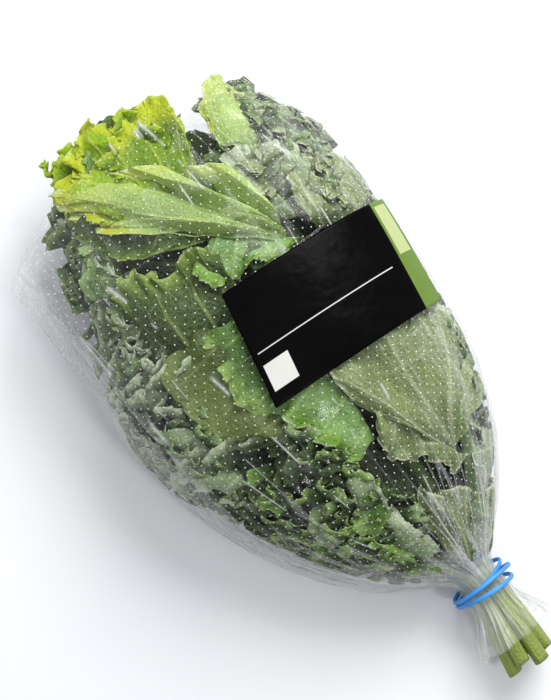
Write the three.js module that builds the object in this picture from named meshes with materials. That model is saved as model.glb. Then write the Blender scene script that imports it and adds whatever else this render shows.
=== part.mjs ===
// A bunch of curly kale lying on its side in an open perforated film sleeve.
// Eight leaves, each one body from cut stalk to frilled tip, are gathered at the neck
// by a rubber band wound three times over the film, and a label lies on the sleeve.
// Millimetres, +Z up, +Y from the cut stalks towards the leaf tips. The origin is
// the centre of the bounding box, on the surface that the bunch lies on.
import * as THREE from "three";
import { mergeVertices } from "three/addons/utils/BufferGeometryUtils.js";

const { PI, sin, cos, abs, min, max, tanh, hypot } = Math;
const { lerp, smoothstep, degToRad } = THREE.MathUtils;

// ---- Driving dimensions ----

// The bunch's cross-section at stations along it, measured from the tie (y = 0):
// how far the leaves reach to the left, right, up and down, and the height of the axis.
const SECTIONS = [
  { y: -48, left: -20.6, right: 12.6, top: 31, bottom: 1.6, axis: 16.4 },
  { y: -9, left: -12.6, right: 12.4, top: 31, bottom: 6, axis: 18.5 },
  { y: 7, left: -12.5, right: 12.5, top: 31.3, bottom: 6.3, axis: 18.8 },
  { y: 18, left: -25, right: 20, top: 39, bottom: 2.8, axis: 19.2 },
  { y: 32, left: -42, right: 32, top: 49, bottom: 1.4, axis: 21 },
  { y: 62, left: -66, right: 53, top: 63, bottom: 1.1, axis: 26 },
  { y: 100, left: -86, right: 68, top: 74, bottom: 1.1, axis: 29 },
  { y: 150, left: -97, right: 75, top: 80, bottom: 1.1, axis: 31 },
  { y: 200, left: -96, right: 79, top: 80, bottom: 1.1, axis: 31 },
  { y: 250, left: -89, right: 79, top: 71, bottom: 1.1, axis: 29 },
  { y: 300, left: -76, right: 70, top: 56, bottom: 1.1, axis: 25 },
];
const BOXY_UP = 0.15; // how square the section grows above the axis, and below it
const BOXY_DOWN = 0.8;

// The leaves lie on nested spiral layers, so that none crosses another.
const RING_LEAVES = 7;
const RING_START = degToRad(18);
const RING_STEP = (2 * PI) / RING_LEAVES;
const LAYER_MIDDLE = 0.65; // where a stalk lies between the axis, 0, and the film, 1
const LAYER_SLOPE = 0.226; // how fast a layer moves outwards, per radian round the axis
const LAYER_REACH = degToRad(66); // the furthest that a blade goes round from its midrib
const LAYER_TURN = degToRad(84); // and from its stalk
const SPREAD_START = 34; // where blades begin to reach over their neighbours
const SPREAD_END = 102;
const ROLL_REACH = degToRad(150); // the same for the rolled leaf in the middle
const ROLL_LAYER = 0.17;
const ROLL_SLOPE = 0.022;
const LEAF_GAP = 0.35; // clear space left between one leaf and the next

const STALK_RADIUS = 3.2; // at the tie
const STALK_CUT_RADIUS = 4; // at the cut end
const RIB_TIP_RADIUS = 0.9; // where the midrib runs out near the leaf's tip
const BLADE_THICKNESS = 1.1;
const STALK_SIDES_HALF = [90, 54, 18]; // angles of a decagon's corners, in degrees

// One entry for each leaf: where its blade starts and ends, its widest half on each
// side, the height of its frills, how far its tip swings round the axis, where its
// stalk was cut and how its waves are shifted along the edge.
const LEAVES = [
  { base: 22, tip: 268, left: 62, right: 60, frill: 1.1, swing: 4, cut: -44, shift: 0.4 },
  { base: 18, tip: 302, left: 62, right: 62, frill: 1.0, swing: 34, cut: -47, shift: 2.1 },
  { base: 20, tip: 276, left: 64, right: 60, frill: 1.1, swing: 6, cut: -42, shift: 3.7 },
  { base: 24, tip: 268, left: 62, right: 64, frill: 1.2, swing: -4, cut: -45, shift: 5.2 },
  { base: 18, tip: 262, left: 60, right: 60, frill: 1.1, swing: -2, cut: -40, shift: 0.9 },
  { base: 24, tip: 272, left: 60, right: 60, frill: 1.0, swing: 0, cut: -43, shift: 2.8 },
  { base: 20, tip: 262, left: 60, right: 62, frill: 1.1, swing: 2, cut: -46, shift: 4.4 },
];
const ROLLED_LEAF = {
  base: 36, tip: 294, left: 40, right: 40, frill: 0.8, swing: -20, cut: -38, shift: 1.3,
};

// Waves along a leaf's edge: length along the edge, height, and the share of the way
// from midrib to edge at which they begin.
const WAVES = [
  { length: 66, height: 4.2, begins: 0.2 },
  { length: 30, height: 4.4, begins: 0.45 },
];
const CRIMP_HEIGHT = 2.6; // the last, finest wave, up and down at every step of the edge
const TOOTH_DEPTH = 2.8; // how far that wave also moves the edge in and out
const LOBE_LENGTH = 58; // lobes of the outline, and how deep they are cut
const LOBE_DEPTH = 7;

// Blade mesh: the share of the way to the edge of each column, and its rows a side.
const RIB_ROWS = 12;
const COLUMNS = [
  { at: 0.3, rows: 24 },
  { at: 0.6, rows: 24 },
  { at: 0.83, rows: 48 },
  { at: 1.0, rows: 48 },
];
const STALK_STATIONS = [-28, -9, 8, 13];

// Film sleeve
const FILM_THICKNESS = 0.7;
const FILM_GAP = 2.0; // between the leaves' reach and the film's middle
const FILM_TIE_GAP = -0.25; // the same at the tie, where the film is drawn in
const FILM_LEFT_EDGE = -97; // the flat-lying seam on the left, past the leaves near the rim
const FILM_SIDES = 32;
const FILM_NECK_ROWS = [-30, -23, -15, -7.5, 7.5, 13, 21, 32];
const FILM_BODY_ROWS = 12;
const RIM_Y = 289; // the middle of the open rim, and how it falls back to each side
const RIM_MIDDLE_X = 18;
const RIM_CURVE = 0.0021;
const GATHERS = 8; // soft folds that run up from the tie
const GATHER_HEIGHT = 2.2;
const SKIRT_FLARE = 1.5;
const SKIRT_PLEATS = 9;
const SKIRT_PLEAT_HEIGHT = 1.6;

// Rubber band: one closed loop wound round the neck
const BAND_TURNS = 3;
const BAND_RADIUS = 1.1;
const BAND_SPREAD_LEFT = 1.6; // how far its turns wander along the neck on either side
const BAND_SPREAD_RIGHT = 5.4;
const BAND_SPREAD_OUT = 1.45; // and how far they ride over each other
const BAND_GAP = 0.7;
const BAND_STEPS = 66;
const BAND_SIDES = 5;

// Label
const LABEL_LENGTH = 101; // round the sleeve
const LABEL_WIDTH = 58; // along it
const LABEL_THICKNESS = 0.4;
const LABEL_GAP = 0.9; // a chord's depth clear of the faceted film
const LABEL_START_X = -23.5;
const LABEL_MIDDLE_Y = 160;
const LABEL_TURN = degToRad(-4); // of its long sides
const LABEL_LEAN = degToRad(12); // of its start, as it follows the sleeve's taper

// ---- The cross-section ----

// A cubic through the stations, for one of their values.
function station(key, y) {
  const s = SECTIONS;
  const last = s.length - 2;
  let i = 0;
  while (i < last && y > s[i + 1].y) i += 1;
  const slope = (k) => {
    const a = s[max(k - 1, 0)];
    const b = s[min(k + 1, last + 1)];
    return (b[key] - a[key]) / (b.y - a.y);
  };
  const step = s[i + 1].y - s[i].y;
  const t = min(max((y - s[i].y) / step, 0), 1);
  const t2 = t * t;
  const t3 = t2 * t;
  return (
    (2 * t3 - 3 * t2 + 1) * s[i][key] +
    (t3 - 2 * t2 + t) * step * slope(i) +
    (3 * t2 - 2 * t3) * s[i + 1][key] +
    (t3 - t2) * step * slope(i + 1)
  );
}

const boxy = (s, k) => (s * (1 + k)) / (1 + k * s * s);

function sectionAt(y) {
  const left = station("left", y);
  const right = station("right", y);
  const axis = station("axis", y);
  const grown = smoothstep(y, 10, 70);
  return {
    x: (left + right) / 2,
    z: axis,
    boxyUp: BOXY_UP * grown,
    boxyDown: BOXY_DOWN * grown,
    half: (right - left) / 2,
    up: station("top", y) - axis,
    down: axis - station("bottom", y),
  };
}

// From the axis to the section's edge, in the direction phi.
function spoke(section, phi) {
  const s = sin(phi);
  const up = section.up * boxy(s, section.boxyUp);
  const down = section.down * boxy(s, section.boxyDown);
  return [section.half * cos(phi), s > 0 ? up : down];
}

// The direction reached by going p millimetres round the section from phi, at share rho.
function walk(section, phi, p, rho) {
  const steps = 10;
  const ahead = 0.01;
  let at = phi;
  for (let i = 0; i < steps; i += 1) {
    const [x0, z0] = spoke(section, at - ahead);
    const [x1, z1] = spoke(section, at + ahead);
    at += p / steps / ((rho * hypot(x1 - x0, z1 - z0)) / (2 * ahead));
  }
  return at;
}

// Keeps a value within a limit, bending it smoothly as it nears it.
const softly = (v, limit) => limit * tanh(v / limit);

function bent(v, limit) {
  const free = 0.7 * limit;
  return abs(v) < free ? v : Math.sign(v) * (free + softly(abs(v) - free, limit - free));
}

// ---- Leaves ----

// The whole leaf table, with each leaf's place among the layers.
const leaves = LEAVES.map((leaf, i) => ({
  ...leaf,
  phi: RING_START + i * RING_STEP,
  layer: () => LAYER_MIDDLE,
  slope: LAYER_SLOPE,
  reach: LAYER_REACH,
  turn: LAYER_TURN,
  room: RING_STEP * LAYER_SLOPE,
}));
leaves.push({
  ...ROLLED_LEAF,
  phi: PI / 2,
  layer: (y) => ROLL_LAYER * smoothstep(y, 0, 60),
  slope: ROLL_SLOPE,
  reach: ROLL_REACH,
  turn: ROLL_REACH,
  room: 0.9 * ROLL_LAYER,
});

// The direction of a leaf's midrib round the axis.
const middleAt = (leaf, y) =>
  leaf.phi + degToRad(leaf.swing) * smoothstep(y, leaf.base + 40, leaf.tip);

// The furthest, in millimetres, that a leaf may go round from its midrib on one side.
function reachAt(leaf, side, y) {
  const section = sectionAt(y);
  const middle = middleAt(leaf, y);
  const spread = smoothstep(y, SPREAD_START, SPREAD_END);
  const reach = lerp(0.42 * RING_STEP, leaf.reach, spread);
  const turn = min(reach, leaf.turn - side * (middle - leaf.phi));
  const rho = max(leaf.layer(y), 0.3);
  const steps = 10;
  let sum = 0;
  for (let i = 0; i < steps; i += 1) {
    const [x0, z0] = spoke(section, middle + (side * turn * i) / steps);
    const [x1, z1] = spoke(section, middle + (side * turn * (i + 1)) / steps);
    sum += rho * hypot(x1 - x0, z1 - z0);
  }
  return sum;
}

// A point of a leaf: y along the bunch, p across the leaf from its midrib, and outwards
// first a height that is kept within the leaf's layer, then one that is not.
function place(leaf, y, p, wave, n) {
  const section = sectionAt(y);
  const middle = middleAt(leaf, y);
  const layer = leaf.layer(y);
  const [mx, mz] = spoke(section, middle);
  const length = hypot(mx, mz);
  const [rx, rz] = [mx / length, mz / length];
  const share = smoothstep(y, leaf.base - 2, leaf.base + 16);
  const free = leaf.slope * (middle - leaf.phi) + layer;
  const stalk = [
    section.x + free * mx + n * rx - p * rz,
    section.z + free * mz + n * rz + p * rx,
  ];
  if (share === 0) return new THREE.Vector3(stalk[0], y, stalk[1]);
  const phi = walk(section, middle, p, max(layer, 0.3));
  const [ex, ez] = spoke(section, phi);
  const outward = hypot(ex, ez);
  const room = (leaf.room * outward - BLADE_THICKNESS - LEAF_GAP) / 2;
  const rho = layer + leaf.slope * (phi - leaf.phi);
  const out = rho + (bent(wave, max(room, 0.1)) + n) / outward;
  return new THREE.Vector3(
    lerp(stalk[0], section.x + out * ex, share),
    y,
    lerp(stalk[1], section.z + out * ez, share),
  );
}

// The half-height that a leaf's midrib may fill without meeting the next leaf.
function ribRoom(leaf, y) {
  return (leaf.room * hypot(...spoke(sectionAt(y), leaf.phi))) / 2 - 0.1;
}

// Half the midrib's width at a height above the tie.
function ribRadius(leaf, y) {
  if (y < 0) return lerp(STALK_RADIUS, STALK_CUT_RADIUS, smoothstep(-y, 4, 40));
  return lerp(STALK_RADIUS, RIB_TIP_RADIUS, (y / leaf.tip) ** 0.8);
}

// The outline: how far out and how far up the blade its edge is, t from base to tip.
function edge(leaf, side, t) {
  const length = leaf.tip - leaf.base;
  const widest = side < 0 ? leaf.left : leaf.right;
  const start = ribRadius(leaf, leaf.base) + 1.2;
  const u = (1 - cos(PI * t)) / 2;
  return {
    p: start * (1 - u) + widest * 2.36 * u ** 0.9 * (1 - u) ** 0.45,
    q: length * u,
  };
}

// Distance along the edge from the base, sampled finely enough for the waves.
function edgeLengths(leaf, side) {
  const steps = 96;
  const sums = [0];
  let last = edge(leaf, side, 0);
  for (let i = 1; i <= steps; i += 1) {
    const next = edge(leaf, side, i / steps);
    sums.push(sums[i - 1] + hypot(next.p - last.p, next.q - last.q));
    last = next;
  }
  return (t) => {
    const at = t * steps;
    const i = min(Math.floor(at), steps - 1);
    return lerp(sums[i], sums[i + 1], at - i);
  };
}

// Height of the frill at a place: s along the edge, w from midrib, 0, to edge, 1.
function frill(leaf, s, w) {
  let height = 0;
  WAVES.forEach(({ length, height: high, begins }, k) => {
    const wander = 1.1 * sin((2 * PI * s) / (2.7 * length) + 2 * leaf.shift);
    const turn = (2 * PI * s) / length + leaf.shift * (k + 1) + wander;
    height += high * smoothstep(w, begins, 1) * sin(turn);
  });
  return leaf.frill * height;
}

// One leaf as one closed mesh. Rows run from midrib to edge, fanning round the tip, and
// both faces are split into the same triangles.
function leafGeometry(leaf) {
  const triangles = [];
  const face = (a, b, c) => triangles.push(a, b, c);
  const lengths = { [-1]: edgeLengths(leaf, -1), 1: edgeLengths(leaf, 1) };
  const whole = lengths[-1](1);
  const turned = (side, t) =>
    side < 0 ? lengths[-1](t) : whole + lengths[1](1) - lengths[1](t);

  // Where the midrib's outer corners are, at t along the blade.
  const foot = (t) => {
    const { q } = edge(leaf, 1, t);
    const share = q / (leaf.tip - leaf.base);
    return q * (0.62 + 0.22 * share);
  };

  // A corner of the stalk or midrib. Column 0 is its crest and column 2 its side.
  const ribCorner = (side, column, up, y, joined, runOut) => {
    const angle = degToRad(STALK_SIDES_HALF[column]);
    const r = ribRadius(leaf, y);
    const high = lerp(r, max(min(r, ribRoom(leaf, y)), BLADE_THICKNESS / 2 + 0.1), joined);
    const n = column === 2 ? lerp(sin(angle) * r, BLADE_THICKNESS / 2, joined) : sin(angle) * high;
    const across = r * cos(angle);
    return place(leaf, y + (runOut ? across : 0), runOut ? 0 : side * across, 0, up * n);
  };

  // A corner of the blade, a share w of the way along its row from midrib to edge.
  const bladeCorner = (side, w, up, t, odd) => {
    const out = edge(leaf, side, t);
    const fromQ = foot(t);
    const fromP = t === 1 ? 0 : 0.95 * ribRadius(leaf, leaf.base + fromQ);
    const outP = t === 1 ? 0 : bent(out.p, reachAt(leaf, side, leaf.base + out.q));
    const grown = t === 1 ? 1 : min(1, outP / 36);
    const s = turned(side, t);
    const crimp = grown * smoothstep(w, 0.7, 1) * smoothstep(t, 0.03, 0.12);
    const lobe = (1 - cos((2 * PI * s) / LOBE_LENGTH + leaf.shift)) / 2;
    const cut = (odd ? TOOTH_DEPTH * crimp : 0) + LOBE_DEPTH * grown * lobe * w;
    const along = w - cut / hypot(outP - fromP, out.q - fromQ);
    const waves = grown * smoothstep(t, 0.04, 0.2) * frill(leaf, s, w);
    const wave = waves + (odd ? -1 : 1) * crimp * CRIMP_HEIGHT;
    const y = leaf.base + lerp(fromQ, out.q, along);
    return place(leaf, y, side * lerp(fromP, outP, along), wave, (up * BLADE_THICKNESS) / 2);
  };

  // A column of corners for one side and one face, from the base to the tip.
  const blade = (side, up, column) => {
    const { at, rows } = COLUMNS[column];
    return Array.from({ length: rows + 1 }, (_, j) =>
      bladeCorner(side, at, up, j / rows, at > 0.7 && j % 2 === 1),
    );
  };
  const rib = (side, up, column) =>
    Array.from({ length: RIB_ROWS + 1 }, (_, j) => {
      const t = j / RIB_ROWS;
      const joined = smoothstep(t, 0, 0.3);
      return ribCorner(side, column, up, leaf.base + foot(t), joined, t === 1);
    });
  const stalk = (side, up, column) =>
    [leaf.cut, ...STALK_STATIONS, leaf.base].map((y) =>
      ribCorner(side, column, up, y, 0, false),
    );

  // Joins two columns, the second with as many rows as the first or twice as many.
  const strip = (inner, outer, flip) => {
    const put = flip ? (a, b, c) => face(a, c, b) : face;
    const n = inner.length - 1;
    const twice = outer.length - 1 === 2 * n;
    for (let j = 0; j < n; j += 1) {
      if (twice) {
        put(inner[j], outer[2 * j], outer[2 * j + 1]);
        put(inner[j], outer[2 * j + 1], inner[j + 1]);
        put(inner[j + 1], outer[2 * j + 1], outer[2 * j + 2]);
      } else {
        put(inner[j], outer[j], inner[j + 1]);
        put(outer[j], outer[j + 1], inner[j + 1]);
      }
    }
  };

  for (const side of [-1, 1]) {
    const flip = side > 0;
    const tops = [0, 1, 2].map((c) => rib(side, 1, c));
    const unders = [0, 1, 2].map((c) => rib(side, -1, c));
    COLUMNS.forEach((_, c) => {
      tops.push(blade(side, 1, c));
      unders.push(blade(side, -1, c));
    });
    for (let c = 0; c + 1 < tops.length; c += 1) {
      strip(tops[c], tops[c + 1], flip);
      strip(unders[c], unders[c + 1], !flip);
    }
    // The edge all round, and the blade's short start beside the stalk.
    strip(tops.at(-1), unders.at(-1), flip);
    const starts = [tops, unders].map((columns) => columns.slice(2).map((c) => c[0]));
    strip(starts[0], starts[1], flip);
    // The stalk below the blade.
    const sides = [0, 1, 2].map((c) => stalk(side, 1, c));
    sides.push(...[2, 1, 0].map((c) => stalk(side, -1, c)));
    for (let c = 0; c + 1 < sides.length; c += 1) strip(sides[c], sides[c + 1], flip);
    // Its cut end.
    const end = sides.map((c) => c[0]);
    const put = flip ? (a, b, c) => face(a, c, b) : face;
    const middle = new THREE.Vector3().addVectors(end[0], end.at(-1)).multiplyScalar(0.5);
    for (let c = 0; c + 1 < end.length; c += 1) put(end[c + 1], end[c], middle);
  }
  return closedGeometry(triangles);
}

// ---- Shared mesh helpers ----

// A closed geometry from corners three by three, with the triangles that have no area
// dropped once corners that coincide are merged.
function closedGeometry(corners) {
  const positions = new Float32Array(corners.flatMap((v) => v.toArray()));
  const soup = new THREE.BufferGeometry();
  soup.setAttribute("position", new THREE.BufferAttribute(positions, 3));
  const merged = mergeVertices(soup, 1e-3);
  const index = merged.index.array;
  const kept = [];
  for (let i = 0; i < index.length; i += 3) {
    const [a, b, c] = [index[i], index[i + 1], index[i + 2]];
    if (a !== b && b !== c && c !== a) kept.push(a, b, c);
  }
  merged.setIndex(kept);
  merged.computeVertexNormals();
  return merged;
}

// A closed skin round a grid of inner and outer corners that closes on itself sideways.
function ringShell(outer, inner) {
  const triangles = [];
  const rows = outer.length - 1;
  const sides = outer[0].length;
  const quad = (a, b, c, d) => triangles.push(a, b, c, a, c, d);
  for (let i = 0; i < sides; i += 1) {
    const k = (i + 1) % sides;
    for (let j = 0; j < rows; j += 1) {
      quad(outer[j][i], outer[j + 1][i], outer[j + 1][k], outer[j][k]);
      quad(inner[j][i], inner[j][k], inner[j + 1][k], inner[j + 1][i]);
    }
    quad(outer[0][i], outer[0][k], inner[0][k], inner[0][i]);
    quad(outer[rows][i], inner[rows][i], inner[rows][k], outer[rows][k]);
  }
  return closedGeometry(triangles);
}

// ---- Film sleeve ----

// A point of the film: phi round it, y along it, n outwards from its middle.
function filmPoint(phi, y, n) {
  const section = sectionAt(y);
  const [ex, ez] = spoke(section, phi);
  const length = hypot(ex, ez);
  const drawn = lerp(FILM_TIE_GAP, FILM_GAP, smoothstep(y, 8, 40));
  const skirt = smoothstep(-y, 8, -FILM_NECK_ROWS[0]);
  const pleat = SKIRT_PLEAT_HEIGHT * skirt * cos(SKIRT_PLEATS * phi);
  const flare = lerp(1, SKIRT_FLARE, skirt) * length + pleat - length;
  const fold = (GATHER_HEIGHT * (1 + sin(GATHERS * phi + y / 24))) / 2;
  const gather = fold * smoothstep(y, 10, 30) * (1 - smoothstep(y, 45, 130));
  const out = (length + drawn + flare + gather + n) / length;
  // On the left the film lies flat out to its seam, past the leaves that narrow there.
  const seam = smoothstep(y, 150, 260) * max(0, -cos(phi)) ** 3;
  const x = lerp(section.x + out * ex, FILM_LEFT_EDGE - n, seam);
  const z = section.z + out * ez;
  return new THREE.Vector3(x, y, max(z, FILM_THICKNESS / 2 - n));
}

// Where the open rim is, for a direction round the sleeve.
function rimY(phi) {
  const x = filmPoint(phi, RIM_Y, 0).x;
  return RIM_Y - RIM_CURVE * (x - RIM_MIDDLE_X) ** 2;
}

function sleeveGeometry() {
  const last = FILM_NECK_ROWS.at(-1);
  const rows = [
    ...FILM_NECK_ROWS.map((y) => () => y),
    ...Array.from({ length: FILM_BODY_ROWS }, (_, j) => (phi) =>
      lerp(last, rimY(phi), ((j + 1) / FILM_BODY_ROWS) ** 1.1),
    ),
  ];
  const rings = (n) =>
    rows.map((yAt) =>
      Array.from({ length: FILM_SIDES }, (_, i) => {
        const phi = (2 * PI * i) / FILM_SIDES;
        return filmPoint(phi, yAt(phi), n);
      }),
    );
  return ringShell(rings(FILM_THICKNESS / 2), rings(-FILM_THICKNESS / 2));
}

// ---- Rubber band ----

// A closed path wound several times round the neck, its turns lying side by side.
function bandPoint(t) {
  const round = 2 * PI * BAND_TURNS * t;
  const across = 2 * PI * t;
  const section = sectionAt(0);
  const film = filmPoint(0, BAND_SPREAD_RIGHT + 2, FILM_THICKNESS / 2).x - section.x;
  const radius = film + BAND_RADIUS + BAND_GAP + BAND_SPREAD_OUT * (1 + cos(across));
  const spread = lerp(BAND_SPREAD_LEFT, BAND_SPREAD_RIGHT, (1 + cos(round)) / 2);
  return new THREE.Vector3(
    section.x + radius * cos(round),
    spread * sin(across),
    section.z + radius * sin(round),
  );
}

function bandGeometry() {
  const rings = (r) =>
    Array.from({ length: BAND_STEPS }, (_, j) => {
      const at = bandPoint(j / BAND_STEPS);
      const along = bandPoint((j + 0.5) / BAND_STEPS);
      along.sub(bandPoint((j - 0.5) / BAND_STEPS)).normalize();
      const axis = new THREE.Vector3(0, 1, 0);
      const out = new THREE.Vector3().crossVectors(axis, along).normalize();
      const up = new THREE.Vector3().crossVectors(along, out).normalize();
      return Array.from({ length: BAND_SIDES }, (_, i) => {
        const a = (2 * PI * i) / BAND_SIDES;
        return at.clone().addScaledVector(out, r * cos(a)).addScaledVector(up, r * sin(a));
      });
    });
  const loop = rings(BAND_RADIUS);
  const triangles = [];
  for (let j = 0; j < BAND_STEPS; j += 1) {
    const next = loop[(j + 1) % BAND_STEPS];
    for (let i = 0; i < BAND_SIDES; i += 1) {
      const k = (i + 1) % BAND_SIDES;
      triangles.push(loop[j][i], loop[j][k], next[k], loop[j][i], next[k], next[i]);
    }
  }
  return closedGeometry(triangles);
}

// ---- Label ----

// The direction at which the sleeve's upper side is at a given x.
function phiAtX(x, y) {
  let low = 0;
  let high = PI;
  for (let i = 0; i < 30; i += 1) {
    const mid = (low + high) / 2;
    if (filmPoint(mid, y, 0).x > x) low = mid;
    else high = mid;
  }
  return low;
}

function labelGeometry() {
  const [long, wide] = [12, 3];
  const grid = (n) =>
    Array.from({ length: wide + 1 }, (_, j) => {
      const across = (j / wide - 0.5) * LABEL_WIDTH;
      const startX = LABEL_START_X + across * sin(LABEL_LEAN);
      const corners = [];
      for (let i = 0; i <= long; i += 1) {
        const along = (i / long) * LABEL_LENGTH;
        const slant = (along - LABEL_LENGTH / 2) * sin(LABEL_TURN);
        const y = LABEL_MIDDLE_Y + across * cos(LABEL_TURN) + slant;
        const phi0 = phiAtX(startX, y);
        const phi = walk(sectionAt(y), phi0, -along, 1.02);
        corners.push(filmPoint(phi, y, FILM_THICKNESS / 2 + LABEL_GAP + n));
      }
      return corners;
    });
  const [top, under] = [grid(LABEL_THICKNESS), grid(0)];
  const triangles = [];
  const quad = (a, b, c, d) => triangles.push(a, b, c, a, c, d);
  for (let j = 0; j < wide; j += 1)
    for (let i = 0; i < long; i += 1) {
      quad(top[j][i], top[j][i + 1], top[j + 1][i + 1], top[j + 1][i]);
      quad(under[j][i], under[j + 1][i], under[j + 1][i + 1], under[j][i + 1]);
    }
  for (let i = 0; i < long; i += 1) {
    quad(top[0][i], under[0][i], under[0][i + 1], top[0][i + 1]);
    quad(top[wide][i], top[wide][i + 1], under[wide][i + 1], under[wide][i]);
  }
  for (let j = 0; j < wide; j += 1) {
    quad(top[j][0], top[j + 1][0], under[j + 1][0], under[j][0]);
    quad(top[j][long], under[j][long], under[j + 1][long], top[j + 1][long]);
  }
  return closedGeometry(triangles);
}

// ---- Assembly ----

const material = (color, roughness, more = {}) =>
  new THREE.MeshStandardMaterial({ color, roughness, metalness: 0, ...more });
const leafMaterial = material(0x4f7a36, 0.55);
const filmMaterial = material(0xf2f5f4, 0.15, { transparent: true, opacity: 0.25 });
const bandMaterial = material(0x2388cf, 0.45);
const labelMaterial = material(0x0d0d0e, 0.3);

const bunch = new THREE.Group();

function add(name, geometry, finish) {
  const mesh = new THREE.Mesh(geometry, finish);
  mesh.name = name;
  bunch.add(mesh);
}

leaves.forEach((leaf, i) => add(`kale_leaf_${i + 1}`, leafGeometry(leaf), leafMaterial));
add("film_sleeve", sleeveGeometry(), filmMaterial);
add("rubber_band", bandGeometry(), bandMaterial);
add("label", labelGeometry(), labelMaterial);

const box = new THREE.Box3().setFromObject(bunch, true);
const middle = box.getCenter(new THREE.Vector3());
bunch.position.set(-middle.x, -middle.y, -box.min.z);

export default bunch;
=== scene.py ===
"""A bunch of curly kale in an open perforated film sleeve, dressed for its looks.

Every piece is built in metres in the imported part's own frame, where +Y runs from the
cut stalks towards the leaf tips. The shape functions work in millimetres measured
from the tie, as the part's own source does, and to_frame() moves them into place.
"""
import math

import bpy
import numpy as np
from mathutils import Matrix, Vector


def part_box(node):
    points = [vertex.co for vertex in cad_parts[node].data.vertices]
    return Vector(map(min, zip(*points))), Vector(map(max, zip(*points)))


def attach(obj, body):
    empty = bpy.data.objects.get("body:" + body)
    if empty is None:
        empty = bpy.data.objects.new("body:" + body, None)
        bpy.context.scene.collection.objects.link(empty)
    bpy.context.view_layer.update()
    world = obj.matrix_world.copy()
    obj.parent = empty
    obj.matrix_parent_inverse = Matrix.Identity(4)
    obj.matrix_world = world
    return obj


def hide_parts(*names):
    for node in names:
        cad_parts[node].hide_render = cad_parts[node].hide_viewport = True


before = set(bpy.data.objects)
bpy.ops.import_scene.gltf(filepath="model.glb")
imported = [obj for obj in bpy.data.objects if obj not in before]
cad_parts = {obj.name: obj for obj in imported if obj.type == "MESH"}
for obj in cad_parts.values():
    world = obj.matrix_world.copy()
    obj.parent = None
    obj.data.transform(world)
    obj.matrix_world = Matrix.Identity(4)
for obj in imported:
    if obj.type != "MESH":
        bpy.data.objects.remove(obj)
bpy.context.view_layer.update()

bl_info = {
    "name": "Kale Bunch",
    "version": (1, 0, 0),
    "blender": (4, 5, 0),
    "location": "View3D > Sidebar > Kale",
    "description": "Builds the leaves, film sleeve, band, label and stage of a kale bunch",
    "category": "Add Mesh",
}

PI = math.pi

# ---------------------------------------------------------------- shape of the bunch

# Its cross-section at stations along it, measured from the tie: how far the leaves
# reach to the left, right, up and down, and the height of the axis.
SECTIONS = {
    "y": (-48, -9, 7, 18, 32, 62, 100, 150, 200, 250, 300),
    "left": (-20.6, -12.6, -12.5, -25, -42, -66, -86, -97, -96, -89, -76),
    "right": (12.6, 12.4, 12.5, 20, 32, 53, 68, 75, 79, 79, 70),
    "top": (31, 31, 31.3, 39, 49, 63, 74, 80, 80, 71, 56),
    "bottom": (1.6, 6, 6.3, 2.8, 1.4, 1.1, 1.1, 1.1, 1.1, 1.1, 1.1),
    "axis": (16.4, 18.5, 18.8, 19.2, 21, 26, 29, 31, 31, 29, 25),
}
BOXY_UP, BOXY_DOWN = 0.15, 0.8  # how much fuller than an ellipse it is above and below
EDGE_SHARE = 0.999  # how near to the edge of a layer a place is still looked for

# Seven leaves lie round an eighth, the rolled heart leaf. A layer is 0 on the axis and 1
# at the film; a blade's layer rises with the angle from its stalk, so the leaves nest.
RING_LEAVES = 7
RING_START, RING_STEP = math.radians(18), 2 * PI / RING_LEAVES
LAYER_MIDDLE, LAYER_SLOPE = 0.63, 0.19  # a little less than the part's, with room for folds
# How far a blade goes round from its midrib and from its stalk, and where it begins to.
LAYER_REACH, LAYER_TURN = math.radians(66), math.radians(84)
SPREAD_START, SPREAD_END = 34, 102
ROLL_REACH, ROLL_LAYER, ROLL_SLOPE = math.radians(150), 0.17, 0.022
LEAF_GAP = 0.35
STALK_RADIUS, STALK_CUT_RADIUS, RIB_TIP_RADIUS = 3.2, 4.0, 0.9
SOLID_BLADE = 1.1  # the blade's thickness in the part, which sets the room for frills
TABLE_GAP = 1.5  # the least height of a fold or curl over the table

FILM_GAP, FILM_TIE_GAP, FILM_LEFT_EDGE = 2.0, -0.25, -97
FILM_HALF = 0.35  # half the film's thickness in the part
RIM_Y, RIM_MIDDLE_X, RIM_CURVE = 289, 18, 0.0021
SKIRT_END_Y = -30
GATHERS, GATHER_HEIGHT = 8, 2.2
SKIRT_FLARE, SKIRT_PLEATS, SKIRT_PLEAT_HEIGHT = 1.5, 9, 1.6
NECK_ROWS = (-30, -23, -15, -7.5, 7.5, 13, 21, 32)  # the part's own rings of points
BODY_ROWS = 12


def smoothstep(x, low, high):
    t = np.clip((np.asarray(x, float) - low) / (high - low), 0, 1)
    return t * t * (3 - 2 * t)


def lerp(a, b, t):
    return a + (b - a) * t


def cubic(a, b, slope_a, slope_b, t, step=1):
    """A smooth step from a to b that leaves and arrives with the given slopes."""
    t2, t3 = t * t, t * t * t
    return ((2 * t3 - 3 * t2 + 1) * a + (t3 - 2 * t2 + t) * step * slope_a
            + (3 * t2 - 2 * t3) * b + (t3 - t2) * step * slope_b)


def station(key, y):
    """A cubic through the stations, for one of their values."""
    ys = np.array(SECTIONS["y"], float)
    v = np.array(SECTIONS[key], float)
    ahead = np.minimum(np.arange(len(ys)) + 1, len(ys) - 1)
    behind = np.maximum(np.arange(len(ys)) - 1, 0)
    slope = (v[ahead] - v[behind]) / (ys[ahead] - ys[behind])
    i = np.clip(np.searchsorted(ys, y, side="left") - 1, 0, len(ys) - 2)
    step = ys[i + 1] - ys[i]
    t = np.clip((y - ys[i]) / step, 0, 1)
    return cubic(v[i], v[i + 1], slope[i], slope[i + 1], t, step)


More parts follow.
